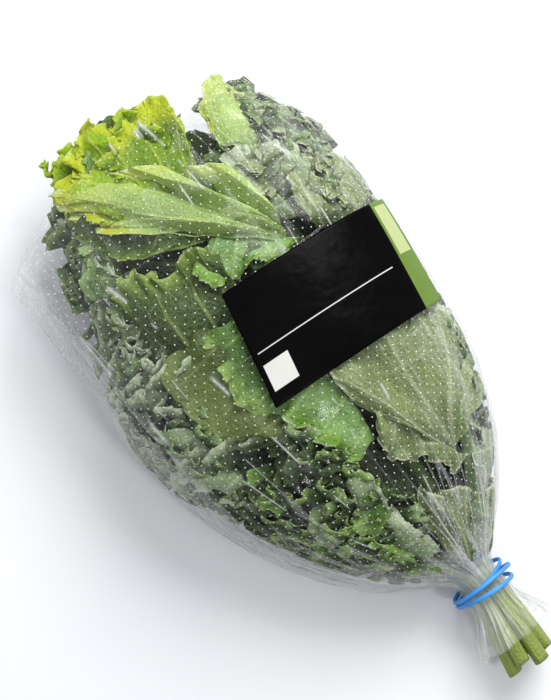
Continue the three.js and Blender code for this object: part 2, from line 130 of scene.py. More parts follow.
class Section:
    """The bunch's cross-section at y, an array."""

    def __init__(self, y):
        left, right, axis = station("left", y), station("right", y), station("axis", y)
        grown = smoothstep(y, 10, 70)
        self.x, self.z, self.half = (left + right) / 2, axis, (right - left) / 2
        self.up, self.down = station("top", y) - axis, axis - station("bottom", y)
        self.boxy_up, self.boxy_down = BOXY_UP * grown, BOXY_DOWN * grown

    def spoke(self, phi):
        """From the axis to the section's edge, in the direction phi."""
        s = np.sin(phi)
        up = self.up * s * (1 + self.boxy_up) / (1 + self.boxy_up * s * s)
        down = self.down * s * (1 + self.boxy_down) / (1 + self.boxy_down * s * s)
        return self.half * np.cos(phi), np.where(s > 0, up, down)

    def above(self, x, layer):
        """The spoke that reaches a given x on the upper side of a layer."""
        share = np.clip((x - self.x) / (layer * self.half), -EDGE_SHARE, EDGE_SHARE)
        return self.spoke(np.arccos(share))

    def walk(self, phi, p, rho):
        """The direction reached by going p millimetres round from phi in the layer rho."""
        steps, ahead = 10, 0.01
        at = phi
        for _ in range(steps):
            x0, z0 = self.spoke(at - ahead)
            x1, z1 = self.spoke(at + ahead)
            at = at + p / steps / (rho * np.hypot(x1 - x0, z1 - z0) / (2 * ahead))
        return at


# How far the leaves are drawn in from the film on the left, near the neck and at the tips.
DRAWN_LEFT, DRAWN_NECK, DRAWN_TIPS = 0.27, 0.1, 0.12


def drawn(phi, y):
    """How far out the leaves reach: less than the film where it is loose round them."""
    to_left, to_right = np.clip(-np.cos(phi), 0, 1) ** 2, np.clip(np.cos(phi), 0, 1)
    left = DRAWN_LEFT * smoothstep(y, 150, 258) * to_left
    neck = DRAWN_NECK * smoothstep(y, 12, 40) * (1 - smoothstep(y, 95, 135)) * to_left
    return 1 - left - neck - DRAWN_TIPS * smoothstep(y, 235, 275) * to_right


def bent(v, limit):
    """Keeps a value within a limit, bending it smoothly as it nears it."""
    free = 0.7 * limit
    rest = limit - free
    over = np.sign(v) * (free + rest * np.tanh((np.abs(v) - free) / rest))
    return np.where(np.abs(v) < free, v, over)


def film_point(phi, y, n):
    """A point of the film in millimetres: phi round it, y along it, n outwards."""
    section = Section(y)
    ex, ez = section.spoke(phi)
    length = np.hypot(ex, ez)
    gap = lerp(FILM_TIE_GAP, FILM_GAP, smoothstep(y, 8, 40))
    skirt = smoothstep(-np.asarray(y, float), 8, -SKIRT_END_Y)
    pleat = SKIRT_PLEAT_HEIGHT * skirt * np.cos(SKIRT_PLEATS * phi)
    flare = lerp(1, SKIRT_FLARE, skirt) * length + pleat - length
    fold = GATHER_HEIGHT * (1 + np.sin(GATHERS * phi + y / 24)) / 2
    gather = fold * smoothstep(y, 10, 30) * (1 - smoothstep(y, 45, 130))
    out = (length + gap + flare + gather + n) / length
    seam = smoothstep(y, 150, 260) * np.maximum(0, -np.cos(phi)) ** 3
    x = lerp(section.x + out * ex, FILM_LEFT_EDGE - n, seam)
    return x, section.z + out * ez


def rim_y(phi):
    """Where the open rim is, for a direction round the sleeve."""
    x, _ = film_point(phi, np.full_like(phi, RIM_Y), 0)
    return RIM_Y - RIM_CURVE * (x - RIM_MIDDLE_X) ** 2


def tie_place():
    """The tie's place in the part's frame in metres, found from the film's own box."""
    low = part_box("film_sleeve")[0]
    phi = np.arange(32) * 2 * PI / 32
    body = np.linspace(0, 1, BODY_ROWS + 1)[1:] ** 1.1
    rows = [np.full_like(phi, y) for y in NECK_ROWS]
    rows += [lerp(NECK_ROWS[-1], rim_y(phi), t) for t in body]
    xs = np.concatenate([film_point(phi, y, FILM_HALF)[0] for y in rows])
    return np.array([low[0] - xs.min() / 1000, low[1] - SKIRT_END_Y / 1000, low[2]])


TIE = tie_place()  # the part is centred on its box, and the shape functions on the tie

# What the camera looks at and how it stands, in millimetres from the tie.
TARGET, DISTANCE = np.array([-11.4, 159.2, 30.0]), 750
ELEVATION, LEAN = math.radians(83), math.radians(4)
VIEW_RIGHT, VIEW_UP = np.array([0.792, -0.611, 0.0]), np.array([0.611, 0.792, 0.0])
SEEN_LAYER = 0.97  # the layer that the uppermost folds lie in


def towards_camera():
    """The direction from the target to the camera."""
    back = -VIEW_UP * math.cos(ELEVATION) - VIEW_RIGHT * math.sin(LEAN)
    back = back + np.array([0, 0, math.sin(ELEVATION)])
    return back / np.linalg.norm(back)


def under_view(points):
    """Where points are on the bunch that seem, from the camera, to be at TARGET's height."""
    seen = np.array(points, float)
    eye = TARGET + DISTANCE * towards_camera()
    at = seen.copy()
    for _ in range(4):
        section = Section(at[:, 1])
        height = section.z + SEEN_LAYER * section.above(at[:, 0], SEEN_LAYER)[1]
        nearer = ((height - TARGET[2]) / (eye[2] - TARGET[2]))[:, None]
        at = seen + (eye[:2] - seen) * nearer
    return at


def to_frame(points):
    """Millimetres from the tie to the part's frame in metres."""
    return np.asarray(points) / 1000 + TIE


# ---------------------------------------------------------------- mesh helpers

def new_object(name, mesh):
    """A mesh as an object of the scene."""
    piece = bpy.data.objects.new(name, mesh)
    bpy.context.scene.collection.objects.link(piece)
    return piece


class Soup:
    """Grids of points joined by triangles, made into one mesh at the end."""

    def __init__(self, *keys):
        self.points, self.faces, self.uvs, self.slots = [], [], [], []
        self.values = {key: [] for key in keys}
        self.count = self.slot = 0

    def put(self, grid, uv, **values):
        """Adds a grid of points, rows by columns, and returns their numbers."""
        shape = grid.shape[:2]
        self.points.append(grid.reshape(-1, 3))
        self.uvs.append(np.stack([np.broadcast_to(v, shape).ravel() for v in uv], -1))
        for key, numbers in self.values.items():
            numbers.append(np.broadcast_to(values[key], shape).ravel().astype(float))
        start = self.count
        self.count += shape[0] * shape[1]
        return start + np.arange(shape[0] * shape[1]).reshape(shape)

    def skin(self, ids, flip=False):
        """Triangles over a grid of point numbers."""
        a, b, c, d = ids[:-1, :-1], ids[:-1, 1:], ids[1:, 1:], ids[1:, :-1]
        faces = np.concatenate([np.stack([a, b, d], -1).reshape(-1, 3),
                                np.stack([b, c, d], -1).reshape(-1, 3)])
        self.faces.append(faces[:, ::-1] if flip else faces)
        self.slots.append(np.full(len(faces), self.slot, np.int32))

    def sheet(self, upper, lower, flip=False):
        """A closed sheet between two grids of point numbers."""
        self.skin(upper, flip)
        self.skin(lower, not flip)
        for edge, turned in ((np.s_[0, :], not flip), (np.s_[-1, :], flip),
                             (np.s_[:, 0], flip), (np.s_[:, -1], not flip)):
            self.skin(np.stack([upper[edge], lower[edge]], 0), turned)

    def mesh(self, name):
        """The mesh, in the part's frame, with the points that coincide merged."""
        points = to_frame(np.concatenate(self.points))
        corners, uvs = np.concatenate(self.faces), np.concatenate(self.uvs)
        keys = np.round(points * 1e7).astype(np.int64)
        _, first, merged = np.unique(keys, axis=0, return_index=True, return_inverse=True)
        faces = merged.reshape(-1)[corners]
        a, b, c = faces.T
        whole = (a != b) & (b != c) & (c != a)
        faces, corners = faces[whole], corners[whole]
        slots = np.concatenate(self.slots)[whole]
        mesh = bpy.data.meshes.new(name)
        mesh.vertices.add(len(first))
        mesh.vertices.foreach_set("co", points[first].astype(np.float32).ravel())
        mesh.loops.add(faces.size)
        mesh.loops.foreach_set("vertex_index", faces.astype(np.int32).ravel())
        mesh.polygons.add(len(faces))
        mesh.polygons.foreach_set("loop_start", np.arange(0, faces.size, 3, dtype=np.int32))
        mesh.update(calc_edges=True)
        mesh.polygons.foreach_set("use_smooth", np.ones(len(faces), bool))
        mesh.polygons.foreach_set("material_index", slots)
        for key, numbers in self.values.items():
            layer = mesh.attributes.new(key, "FLOAT", "POINT")
            layer.data.foreach_set("value", np.concatenate(numbers)[first].astype(np.float32))
        layer = mesh.uv_layers.new(name="UVMap")
        layer.data.foreach_set("uv", uvs[corners].astype(np.float32).ravel())
        return mesh


# ---------------------------------------------------------------- material helpers

def linear(r, g, b):
    """A screen colour, 0 to 255, as the linear colour that nodes take."""
    def one(c):
        c /= 255
        return c / 12.92 if c <= 0.04045 else ((c + 0.055) / 1.055) ** 2.4
    return (one(r), one(g), one(b), 1.0)


class Nodes:
    """Short names for adding nodes to an empty tree."""

    def __init__(self, tree):
        self.tree, self.x = tree, 0

    def add(self, kind, inputs=None, **settings):
        node = self.tree.nodes.new(kind)
        self.x += 180
        node.location = (self.x, -40 * (self.x // 180 % 7))
        for key, value in settings.items():
            setattr(node, key, value)
        for key, value in (inputs or {}).items():
            self.give(node, key, value)
        return node

    def give(self, node, key, value):
        if isinstance(value, bpy.types.NodeSocket):
            self.tree.links.new(value, node.inputs[key])
        else:
            node.inputs[key].default_value = value

    def math(self, operation, a, b=0.0):
        return self.add("ShaderNodeMath", {0: a, 1: b}, operation=operation).outputs[0]

    def plus(self, a, b):
        return self.math("ADD", a, b)

    def less(self, a, b):
        return self.math("SUBTRACT", a, b)

    def times(self, a, b):
        return self.math("MULTIPLY", a, b)


class MaterialNodes(Nodes):
    """Short names for building a material's nodes."""

    def __init__(self, name):
        self.material = bpy.data.materials.new(name)
        self.material.use_nodes = True
        super().__init__(self.material.node_tree)
        self.tree.nodes.clear()

    def mix(self, factor, a, b, blend="MIX"):
        node = self.add("ShaderNodeMix", data_type="RGBA", blend_type=blend)
        for index, value in ((0, factor), (6, a), (7, b)):
            self.give(node, index, value)
        return node.outputs[2]

    def smooth(self, value, low, high):
        given = {"Value": value, "From Min": low, "From Max": high}
        return self.add("ShaderNodeMapRange", given, interpolation_type="SMOOTHSTEP").outputs[0]

    def ramp(self, value, stops, smooth=True):
        """Colours or greys at the given stops of a value."""
        node = self.add("ShaderNodeValToRGB", {0: value})
        node.color_ramp.interpolation = "EASE" if smooth else "LINEAR"
        elements = node.color_ramp.elements
        while len(elements) < len(stops):
            elements.new(0.5)
        for element, (position, colour) in zip(elements, stops):
            element.position = position
            element.color = colour if hasattr(colour, "__len__") else (colour,) * 3 + (1,)
        return node.outputs[0]

    def attribute(self, name):
        return self.add("ShaderNodeAttribute", attribute_name=name).outputs["Fac"]

    def noise(self, vector, scale, detail=3.0, roughness=0.55, distortion=0.0):
        node = self.add("ShaderNodeTexNoise", {
            "Vector": vector, "Scale": scale, "Detail": detail,
            "Roughness": roughness, "Distortion": distortion})
        return node.outputs["Fac"]

    def place(self):
        """Where a point is on the object, in metres."""
        return self.add("ShaderNodeTexCoord").outputs["Object"]

    def uv(self):
        """Where a point is on the sheet laid flat."""
        return self.add("ShaderNodeUVMap", uv_map="UVMap").outputs["UV"]

    def laid(self, scale, turn=0.0):
        """A place on the sheet laid flat, scaled and turned, for streaks that run one way."""
        given = {"Vector": self.uv(), "Scale": scale + (1.0,), "Rotation": (0.0, 0.0, turn)}
        return self.add("ShaderNodeMapping", given).outputs[0]

    def lines(self, scale, turn, bend, level, width):
        """Thin lines on the sheet laid flat, where a stretched noise crosses a level."""
        off = self.less(self.noise(self.laid(scale, turn), 1.0, 1, 0.4, bend), level)
        return self.ramp(self.math("ABSOLUTE", off), ((0.0, 1.0), (width, 0.0)), smooth=False)

    def bump(self, height, strength, distance):
        given = {"Height": height, "Strength": strength, "Distance": distance}
        return self.add("ShaderNodeBump", given).outputs["Normal"]

    def coat(self, colour, roughness, specular, **more):
        """A plain opaque surface; more names other inputs of its shader."""
        given = {"Base Color": colour, "Roughness": roughness, "Specular IOR Level": specular}
        given.update((key.replace("_", " "), value) for key, value in more.items())
        return self.add("ShaderNodeBsdfPrincipled", given).outputs[0]

    def blend(self, factor, a, b):
        """Two shaders mixed by a factor."""
        return self.add("ShaderNodeMixShader", {0: factor, 1: a, 2: b}).outputs[0]

    def finish(self, shader):
        out = self.add("ShaderNodeOutputMaterial")
        self.tree.links.new(shader, out.inputs["Surface"])
        return self.material


# ---------------------------------------------------------------- leaves

# Each leaf: where its blade starts and ends, its halves' widths, the height of its waves,
# its tip's swing round the axis in degrees, where it was cut and how its waves shift.
LEAVES = (
    dict(base=22, tip=268, left=62, right=60, high=1.1, swing=4, cut=-44, shift=0.4),
    dict(base=18, tip=302, left=62, right=62, high=1.0, swing=34, cut=-47, shift=2.1),
    dict(base=20, tip=276, left=64, right=60, high=1.1, swing=6, cut=-42, shift=3.7),
    dict(base=24, tip=268, left=62, right=64, high=1.2, swing=-4, cut=-45, shift=5.2),
    dict(base=18, tip=262, left=60, right=60, high=1.1, swing=-2, cut=-40, shift=0.9),
    dict(base=24, tip=272, left=60, right=60, high=1.0, swing=0, cut=-43, shift=2.8),
    dict(base=20, tip=262, left=60, right=62, high=1.1, swing=2, cut=-46, shift=4.4),
    dict(base=36, tip=294, left=40, right=40, high=0.8, swing=-20, cut=-38, shift=1.3),
)
# The part's own waves, the finer ruffles of a margin, and those of the small curls: their
# length, their height and where they begin, from 0 at the midrib to 1 at the margin.
WAVES = ((66, 3.2, 0.2), (30, 3.0, 0.45))
RUFFLES = ((23, 3.0, 0.45), (12.5, 3.0, 0.66), (6.6, 1.7, 0.82))
CURL_RUFFLES = ((15.5, 4.0, 0.1), (7.6, 3.0, 0.3), (3.9, 1.3, 0.5))
LOBE_LENGTH, LOBE_DEPTH = 58, 7
FOLD_LOBE_LENGTH, FOLD_LOBE_DEPTH = 34, 3.5
TOOTH_LENGTH, TOOTH_DEPTH = 4.1, 1.3
INNER_LEAVES = (5, 6, 8)  # under the others or inside them, so made with fewer rows
LEAF_VEINS = 9  # on each half
LEAF_FORKS = ((0.08, 0.3), (-0.08, 0.48), (0.08, 0.68))  # how far a fork turns, where it begins
FOLD_FORKS = ((0.45, 0.25), (-0.45, 0.42), (0.45, 0.6))  # the same, by a fold's vein spacing
EDGE_POINTS, MARGIN_POINTS = 97, 200  # where a leaf's edge and a fold's margin are measured
UV_WIDTH = 0.06  # a blade's width in its UVs, from midrib to margin, in metres


def ruffle(s, w, seed, strength=1.0, bite=1.0):
    """How a ruffled margin moves: out of the blade, along its edge and away from it."""
    out, along, away = 0, 0, 0
    for k, (length, high, begins) in enumerate(RUFFLES):
        wander = 1.3 * np.sin(s / (1.9 * length) + seed + k)
        wander = wander + 0.8 * np.sin(s / (0.7 * length) + 3 * seed)
        turn = 2 * PI * s / length + wander + 2.1 * seed * (k + 1)
        swell = 0.75 + 0.35 * np.sin(s / (2.6 * length) + 1.7 * seed + 2 * k)
        grown = strength * high * swell * smoothstep(w, begins, 1.02)
        out = out + grown * np.sin(turn)
        along = along - 0.42 * grown * np.sin(2 * turn)
        away = away + 0.35 * grown * np.cos(turn + 0.7)
    teeth = 0.5 + 0.5 * np.sin(2 * PI * s / TOOTH_LENGTH + 2.2 * np.sin(s / 5.7 + seed) + seed)
    away = away - TOOTH_DEPTH * bite * teeth * smoothstep(w, 0.86, 1)
    return out, along, away


def forked_veins(t, w, span, paths, width, forks, thinner, paler):
    """How near places are to veins and their forks, from 0 to 1."""
    near = np.zeros_like(t)
    for path in paths:
        near = np.maximum(near, np.exp(-((t - path) * span / width) ** 2))
        for turn, begins in forks:
            aside = turn * np.clip(w - begins, 0, 1) ** 0.85
            thin = (t - path - aside) * span / (thinner * width)
            near = np.maximum(near, paler * np.exp(-thin ** 2) * (w > begins))
    return near * (1 - 0.3 * w)


class Leaf:
    """One leaf's shape: the part's own leaf, with finer frills, veins and blisters."""

    def __init__(self, index, frills, overhang, thickness):
        for key, value in LEAVES[index].items():
            setattr(self, key, value)
        rolled = index == len(LEAVES) - 1
        self.rolled = rolled
        self.phi = PI / 2 if rolled else RING_START + index * RING_STEP
        self.slope = ROLL_SLOPE if rolled else LAYER_SLOPE
        self.reach = ROLL_REACH if rolled else LAYER_REACH
        self.turn = ROLL_REACH if rolled else LAYER_TURN
        self.room = 0.9 * ROLL_LAYER if rolled else RING_STEP * LAYER_SLOPE
        self.frills, self.overhang, self.thickness = frills, overhang, thickness
        self.seed = 1.7 * index + 0.6
        t = np.linspace(0, 1, EDGE_POINTS)
        self.lengths = {}
        for side in (-1, 1):
            p, q = self.edge(side, t)
            steps = np.hypot(np.diff(p), np.diff(q))
            self.lengths[side] = np.concatenate([[0], np.cumsum(steps)])

    def layer(self, y):
        """How far out the leaf's own layer is, from 0 on the axis to 1 at the film."""
        if self.rolled:
            return ROLL_LAYER * smoothstep(y, 0, 60)
        return np.full(np.shape(y), LAYER_MIDDLE)

    def middle(self, y):
        """The direction of the midrib at y."""
        return self.phi + math.radians(self.swing) * smoothstep(y, self.base + 40, self.tip)

    def rib(self, y):
        """The midrib's radius at y."""
        y = np.asarray(y, float)
        low = lerp(STALK_RADIUS, STALK_CUT_RADIUS, smoothstep(-y, 4, 40))
        high = lerp(STALK_RADIUS, RIB_TIP_RADIUS, np.clip(y / self.tip, 0, None) ** 0.8)
        return np.where(y < 0, low, high)

    def edge(self, side, t):
        """The blade's outline laid flat: across from the midrib, and along it."""
        widest = self.left if side < 0 else self.right
        u = (1 - np.cos(PI * t)) / 2
        across = (self.rib(self.base) + 1.2) * (1 - u)
        across = across + widest * 2.36 * u ** 0.9 * (1 - u) ** 0.45
        return across, (self.tip - self.base) * u

    def foot(self, t):
        """How far along the midrib a line of the blade starts."""
        u = (1 - np.cos(PI * t)) / 2
        return (self.tip - self.base) * u * (0.62 + 0.22 * u)

    def turned(self, side, t):
        """Distance along the whole edge, from one side's base round to the other's."""
        along = np.interp(t, np.linspace(0, 1, EDGE_POINTS), self.lengths[side])
        if side < 0:
            return along
        return self.lengths[-1][-1] + self.lengths[1][-1] - along

    def reach_at(self, side, y):
        """How far the blade may go round from its midrib, in millimetres."""
        section = Section(y)
        middle = self.middle(y)
        reach = lerp(0.42 * RING_STEP, self.reach, smoothstep(y, SPREAD_START, SPREAD_END))
        turn = np.minimum(reach, self.turn - side * (middle - self.phi))
        rho = np.maximum(self.layer(y), 0.3)
        x, z = section.spoke(middle)
        total = 0
        for i in range(10):
            x1, z1 = section.spoke(middle + side * turn * (i + 1) / 10)
            total = total + rho * np.hypot(x1 - x, z1 - z)
            x, z = x1, z1
        return total

    def place(self, y, p, wave, n):
        """A point: y along, p across, a height kept within its layer and one added."""
        section = Section(y)
        middle, layer = self.middle(y), self.layer(y)
        mx, mz = section.spoke(middle)
        length = np.hypot(mx, mz)
        rx, rz = mx / length, mz / length
        share = smoothstep(y, self.base - 2, self.base + 16)
        free = self.slope * (middle - self.phi) + layer
        stalk_x = section.x + free * mx + n * rx - p * rz
        stalk_z = section.z + free * mz + n * rz + p * rx
        phi = section.walk(middle, p, np.maximum(layer, 0.3))
        ex, ez = section.spoke(phi)
        outward = np.hypot(ex, ez)
        room = (self.room * outward - SOLID_BLADE - LEAF_GAP) / 2
        rho = (layer + self.slope * (phi - self.phi)) * drawn(phi, y)
        out = rho + (bent(wave, np.maximum(room, 0.1)) + n) / outward
        return np.stack([lerp(stalk_x, section.x + out * ex, share), y + 0 * p,
                         lerp(stalk_z, section.z + out * ez, share)], -1)

    def wave(self, s, w):
        """The height of the leaf's broad waves."""
        height = 0
        for k, (length, high, begins) in enumerate(WAVES):
            wander = 1.1 * np.sin(2 * PI * s / (2.7 * length) + 2 * self.shift)
            turn = 2 * PI * s / length + self.shift * (k + 1) + wander
            height = height + high * smoothstep(w, begins, 1) * np.sin(turn)
        return self.high * height

    def veins(self, side, t, w):
        """How near a place is to a vein, from 0 to 1."""
        span = (self.tip - self.base) * (0.3 + 0.95 * np.sin(PI * t))
        starts = [(k + (0.75 if side > 0 else 0.35)) / (LEAF_VEINS + 0.6)
                  + 0.012 * math.sin(7.3 * k + self.seed * 3 + side) for k in range(LEAF_VEINS)]
        paths = [start + 0.035 * w ** 1.5 for start in starts]
        near = forked_veins(t, w, span, paths, lerp(1.5, 0.6, w), LEAF_FORKS, 0.55, 0.75)
        return near * (1 - smoothstep(t, 0.94, 1))

    def blade(self, side, t, w, up):
        """Points of one half of one face, how near they are to veins, and the edge's length."""
        s = self.turned(side, t)
        fade = smoothstep(1 - t, 0, 0.03)
        begun = smoothstep(t, 0.03, 0.12)
        out_p, out_q = self.edge(side, t)
        from_q = self.foot(t)
        tip = t >= 1 - 1e-9
        from_p = np.where(tip, 0, 0.95 * self.rib(self.base + from_q))
        edge_p = np.where(tip, 0, bent(out_p, self.reach_at(side, self.base + out_q)))
        grown = np.where(tip, 1, np.minimum(1, edge_p / 36)) * begun
        lobe = (1 - np.cos(2 * PI * s / LOBE_LENGTH + self.shift)) / 2
        length = np.maximum(np.hypot(edge_p - from_p, out_q - from_q), 1)
        out, shift, away = ruffle(s, w, self.seed, self.frills * grown)
        along = w + (away - LOBE_DEPTH * grown * lobe * w) / length
        wave = grown * smoothstep(t, 0.04, 0.2) * self.wave(s, w) + 0.5 * out
        near = self.veins(side, t, w)
        inner = smoothstep(w, 0.02, 0.15)
        blister = 0.55 * np.sin(s / 2.9 + 3 * np.sin(w * 9 + s / 21)) * np.sin(w * 21 + self.seed)
        blister = blister + 0.35 * np.sin(s / 1.7 + 5 * w) * np.sin(w * 34 + s / 8)
        puffed = inner * blister * (1 - near) * (1 - 0.6 * w)
        rise = (0.95 if up > 0 else -0.25) * near * (1 - 0.55 * w) * inner
        half = self.thickness * lerp(0.6, 0.36, w)
        lean = self.overhang * shift * fade
        across = lerp(from_p, edge_p, along) + lean * (out_q - from_q) / length * 0.6
        y = self.base + lerp(from_q, out_q, along) + lean * (1 - 0.5 * t)
        added = up * half + rise + 0.5 * out - puffed
        return self.place(y, side * across, wave, added), near, s

    def stem(self, side, angle, up, y, joined, run_out):
        """Points of the stalk or midrib, joined 1 where it is part of the blade."""
        r = self.rib(y)
        room = self.room * np.hypot(*Section(y).spoke(self.phi)) / 2 - 0.1
        half = self.thickness * 0.6
        high = np.maximum(np.minimum(r, room), 0.65) * (1 if up > 0 else 0.7)
        crest, across = np.sin(angle), np.where(angle > 1.57, 0, np.cos(angle)) * r
        ridged = 1 + 0.035 * (1 - joined) * np.cos(7 * angle + self.seed)
        n = lerp(crest * r * ridged, half + (high - half) * crest ** 1.3 * (crest > 0.25), joined)
        wave = 0 * y
        points_y = y + run_out * across
        return self.place(points_y, (1 - run_out) * side * across * ridged, wave, up * n)

    def mesh(self, name, rows, columns, folds):
        """The whole leaf as one mesh, with its folds."""
        soup = Soup("vein", "edge", "face", "along", "stalk", "dark_green_and_painted_shade")
        whole = self.lengths[1] / self.lengths[1][-1]
        t = np.interp(np.linspace(0, 1, rows), whole, np.linspace(0, 1, EDGE_POINTS))[:, None]
        w = 1 - (1 - np.linspace(0, 1, columns)[None, :]) ** 1.3
        angles = np.radians(np.linspace(90, 12, 5))[None, :]
        low = np.linspace(self.cut, self.base, 30)[:, None]
        for side in (-1, 1):
            ends = {}
            for up in (1, -1):
                turned = (side > 0) == (up > 0)
                tt, ww = np.broadcast_arrays(t, w)
                y = self.base + self.foot(t) + 0 * angles
                joined, last = smoothstep(t, 0, 0.3), (t >= 1 - 1e-9) * 1.0
                rib = self.stem(side, angles, up, y, joined, last)
                grid, near, s = self.blade(side, tt, ww, up)
                grid[:, 0] = rib[:, -1]
                flat = side * 0.004 * np.cos(angles)
                common = {"face": (up + 1) / 2, "vein": 1.0, "edge": 0.0, "dark_green_and_painted_shade": 0.0}
                ids = soup.put(rib, (flat, y / 1000), along=t, stalk=0.6 * (1 - joined), **common)
                soup.skin(ids, turned)
                stalk = self.stem(side, angles, up, low + 0 * angles, 0.0, 0.0)
                stem = soup.put(stalk, (flat, low / 1000), along=0.0, stalk=1.0, **common)
                soup.skin(stem, turned)
                # Blades take a little painted shade all over; midribs and stalks take none.
                face = soup.put(grid, (s / 1000, ww * UV_WIDTH), along=tt, stalk=0.0,
                                face=(up + 1) / 2, vein=near, edge=ww, dark_green_and_painted_shade=0.3)
                soup.skin(face, turned)
                ends[up] = face[:, -1], face[0], stem[:, -1], stem[0]
            for upper, lower in zip(ends[1], ends[-1]):
                soup.skin(np.stack([upper, lower], -1), side > 0)
        for k, fold in enumerate(folds):
            soup.slot = k + 1
            fold.put(soup)
        return soup.mesh(name)


def through(points, k):
    """A smooth curve through points, k from 0 to 1."""
    points = np.array(points, float)
    count = len(points) - 1
    at = np.clip(k, 0, 1) * count
    i = np.minimum(at.astype(int), count - 1)
    t = (at - i)[..., None]
    slope = np.gradient(points, axis=0)
    return cubic(points[i], points[i + 1], slope[i], slope[i + 1], t)


def spread(rows, columns, crowding):
    """Shares along and across a sheet, crowded towards its margin."""
    q = 1 - (1 - np.linspace(0, 1, columns)) ** crowding
    return np.meshgrid(np.linspace(0, 1, rows), q, indexing="ij")


# Each sheet carries a shade value: how much painted shade darkens it, point by point.
def put_sheet(soup, surface, k, q, along, dark_green_and_painted_shade, clockwise=False):
    """Adds a fold or a curl to a leaf's mesh as a closed sheet."""
    ids = []
    for up in (1, -1):
        grid, near, s = surface(k, q, up)
        ids.append(soup.put(grid, (s / 1000, q * UV_WIDTH), vein=near, edge=q,
                            face=(up + 1) / 2, along=along, stalk=0.0, dark_green_and_painted_shade=dark_green_and_painted_shade))
    soup.sheet(*ids, clockwise)


class Fold:
    """A part of a leaf that is folded over the others: from a hidden line to its margin."""

    def __init__(self, leaf, tone, hidden, margin, top=0.95, low=0.84, strength=1.0,
                 veins=4, swell=1.0, seed=0.0, thickness=0.5, bite=1.0, turned=0.0):
        self.leaf, self.tone, self.top, self.low = leaf, tone, top, low
        self.hidden, self.margin = under_view(hidden), under_view(margin)
        self.strength, self.veins, self.swell, self.seed = strength, veins, swell, seed
        self.thickness, self.bite, self.turned = thickness, bite, turned
        line = through(self.margin, np.linspace(0, 1, MARGIN_POINTS))
        steps = np.linalg.norm(np.diff(line, axis=0), axis=1)
        self.run = np.concatenate([[0], np.cumsum(steps)])

    def surface(self, k, q, up):
        """Points at k along the fold and q of the way to its margin."""
        base, edge = through(self.hidden, k), through(self.margin, k)
        tangent = through(self.margin, k + 0.004) - through(self.margin, k - 0.004)
        tangent = tangent / np.maximum(np.linalg.norm(tangent, axis=-1), 1e-6)[..., None]
        outward = edge - base
        reach = np.maximum(np.linalg.norm(outward, axis=-1), 1e-6)
        outward = outward / reach[..., None]
        s = np.interp(k, np.linspace(0, 1, MARGIN_POINTS), self.run) + 37 * self.seed
        out, along, away = ruffle(s, q, self.seed + 0.4, self.strength, self.bite)
        ends = smoothstep(k, 0, 0.04) * smoothstep(1 - k, 0, 0.04)
        lobe = 0.5 + 0.5 * np.sin(2 * PI * s / FOLD_LOBE_LENGTH + self.seed)
        lobe = FOLD_LOBE_DEPTH * self.strength * q * lobe
        sides = 1 - smoothstep(k, 0, 0.12) * smoothstep(1 - k, 0, 0.12)
        wavy = 1.3 * sides * np.sin(q * reach / 3.1 + self.seed) * np.sin(PI * q)
        place = lerp(base, edge, q[..., None]) + (along * ends + wavy)[..., None] * tangent
        place = place + (away - lobe)[..., None] * outward
        near = self.vein_shares(k, q)
        broad = 2.2 * np.sin(2 * PI * s / 43 + 2 * self.seed + 1.5 * q) * np.sin(PI * q * 0.8)
        broad = broad + 1.1 * np.sin(s / 5.7 + 5 * q + self.seed) * np.sin(PI * q)
        broad = broad - 1.5 * np.sin(5.5 * q + 2 * np.sin(s / 17 + self.seed)) * np.sin(PI * q)
        puffed = 0.35 * np.sin(s / 1.5 + 3 * np.sin(q * 14)) * np.sin(q * reach / 1.3) * (1 - near)
        rise = (0.7 if up > 0 else -0.2) * near * (1 - 0.5 * q)
        section = Section(place[..., 1])
        rho = lerp(self.low, self.top, smoothstep(q, -0.05, 0.3))
        ex, ez = section.above(place[..., 0], rho)
        length = np.hypot(ex, ez)
        height = out + self.swell * broad + puffed
        room = (1 - rho) * length + 1.2
        height = np.where(height > 0, bent(height, room), height)
        thick = self.thickness * lerp(0.55, 0.35, q)
        reached = rho + (height + rise + up * thick) / length
        x, z = section.x + reached * ex, section.z + reached * ez
        return np.stack([x, place[..., 1], np.maximum(z, TABLE_GAP)], -1), near, s

    def vein_shares(self, k, q):
        """How near a place is to a vein, from 0 to 1."""
        span = lerp(np.linalg.norm(self.hidden[-1] - self.hidden[0]), self.run[-1], q)
        paths = [(i + 0.5 + 0.16 * math.sin(5 * i + self.seed)) / self.veins
                 for i in range(self.veins)]
        forks = [(turn / self.veins, begins) for turn, begins in FOLD_FORKS]
        return forked_veins(k, q, span, paths, lerp(1.2, 0.5, q), forks, 0.6, 0.7)

    def put(self, soup):
        """Adds the fold to a leaf's mesh."""
        margin, hidden = self.margin[len(self.margin) // 2], self.hidden[len(self.hidden) // 2]
        reach = np.linalg.norm(margin - hidden)
        rows = int(np.clip(self.run[-1] * 1.15, 40, 180))
        columns = int(np.clip(reach / 2.2 + 8, 13, 34))
        k, q = spread(rows, columns, 1.35)
        start, end = self.margin[0] - self.hidden[0], self.margin[-1] - self.margin[0]
        clockwise = bool(start[0] * end[1] - start[1] * end[0] < 0)
        # Painted shade: the fold darkens towards the hidden line where it leaves the leaf.
        put_sheet(soup, self.surface, k, q, q - self.turned * k, 0.6 * (1 - q) ** 2, clockwise)


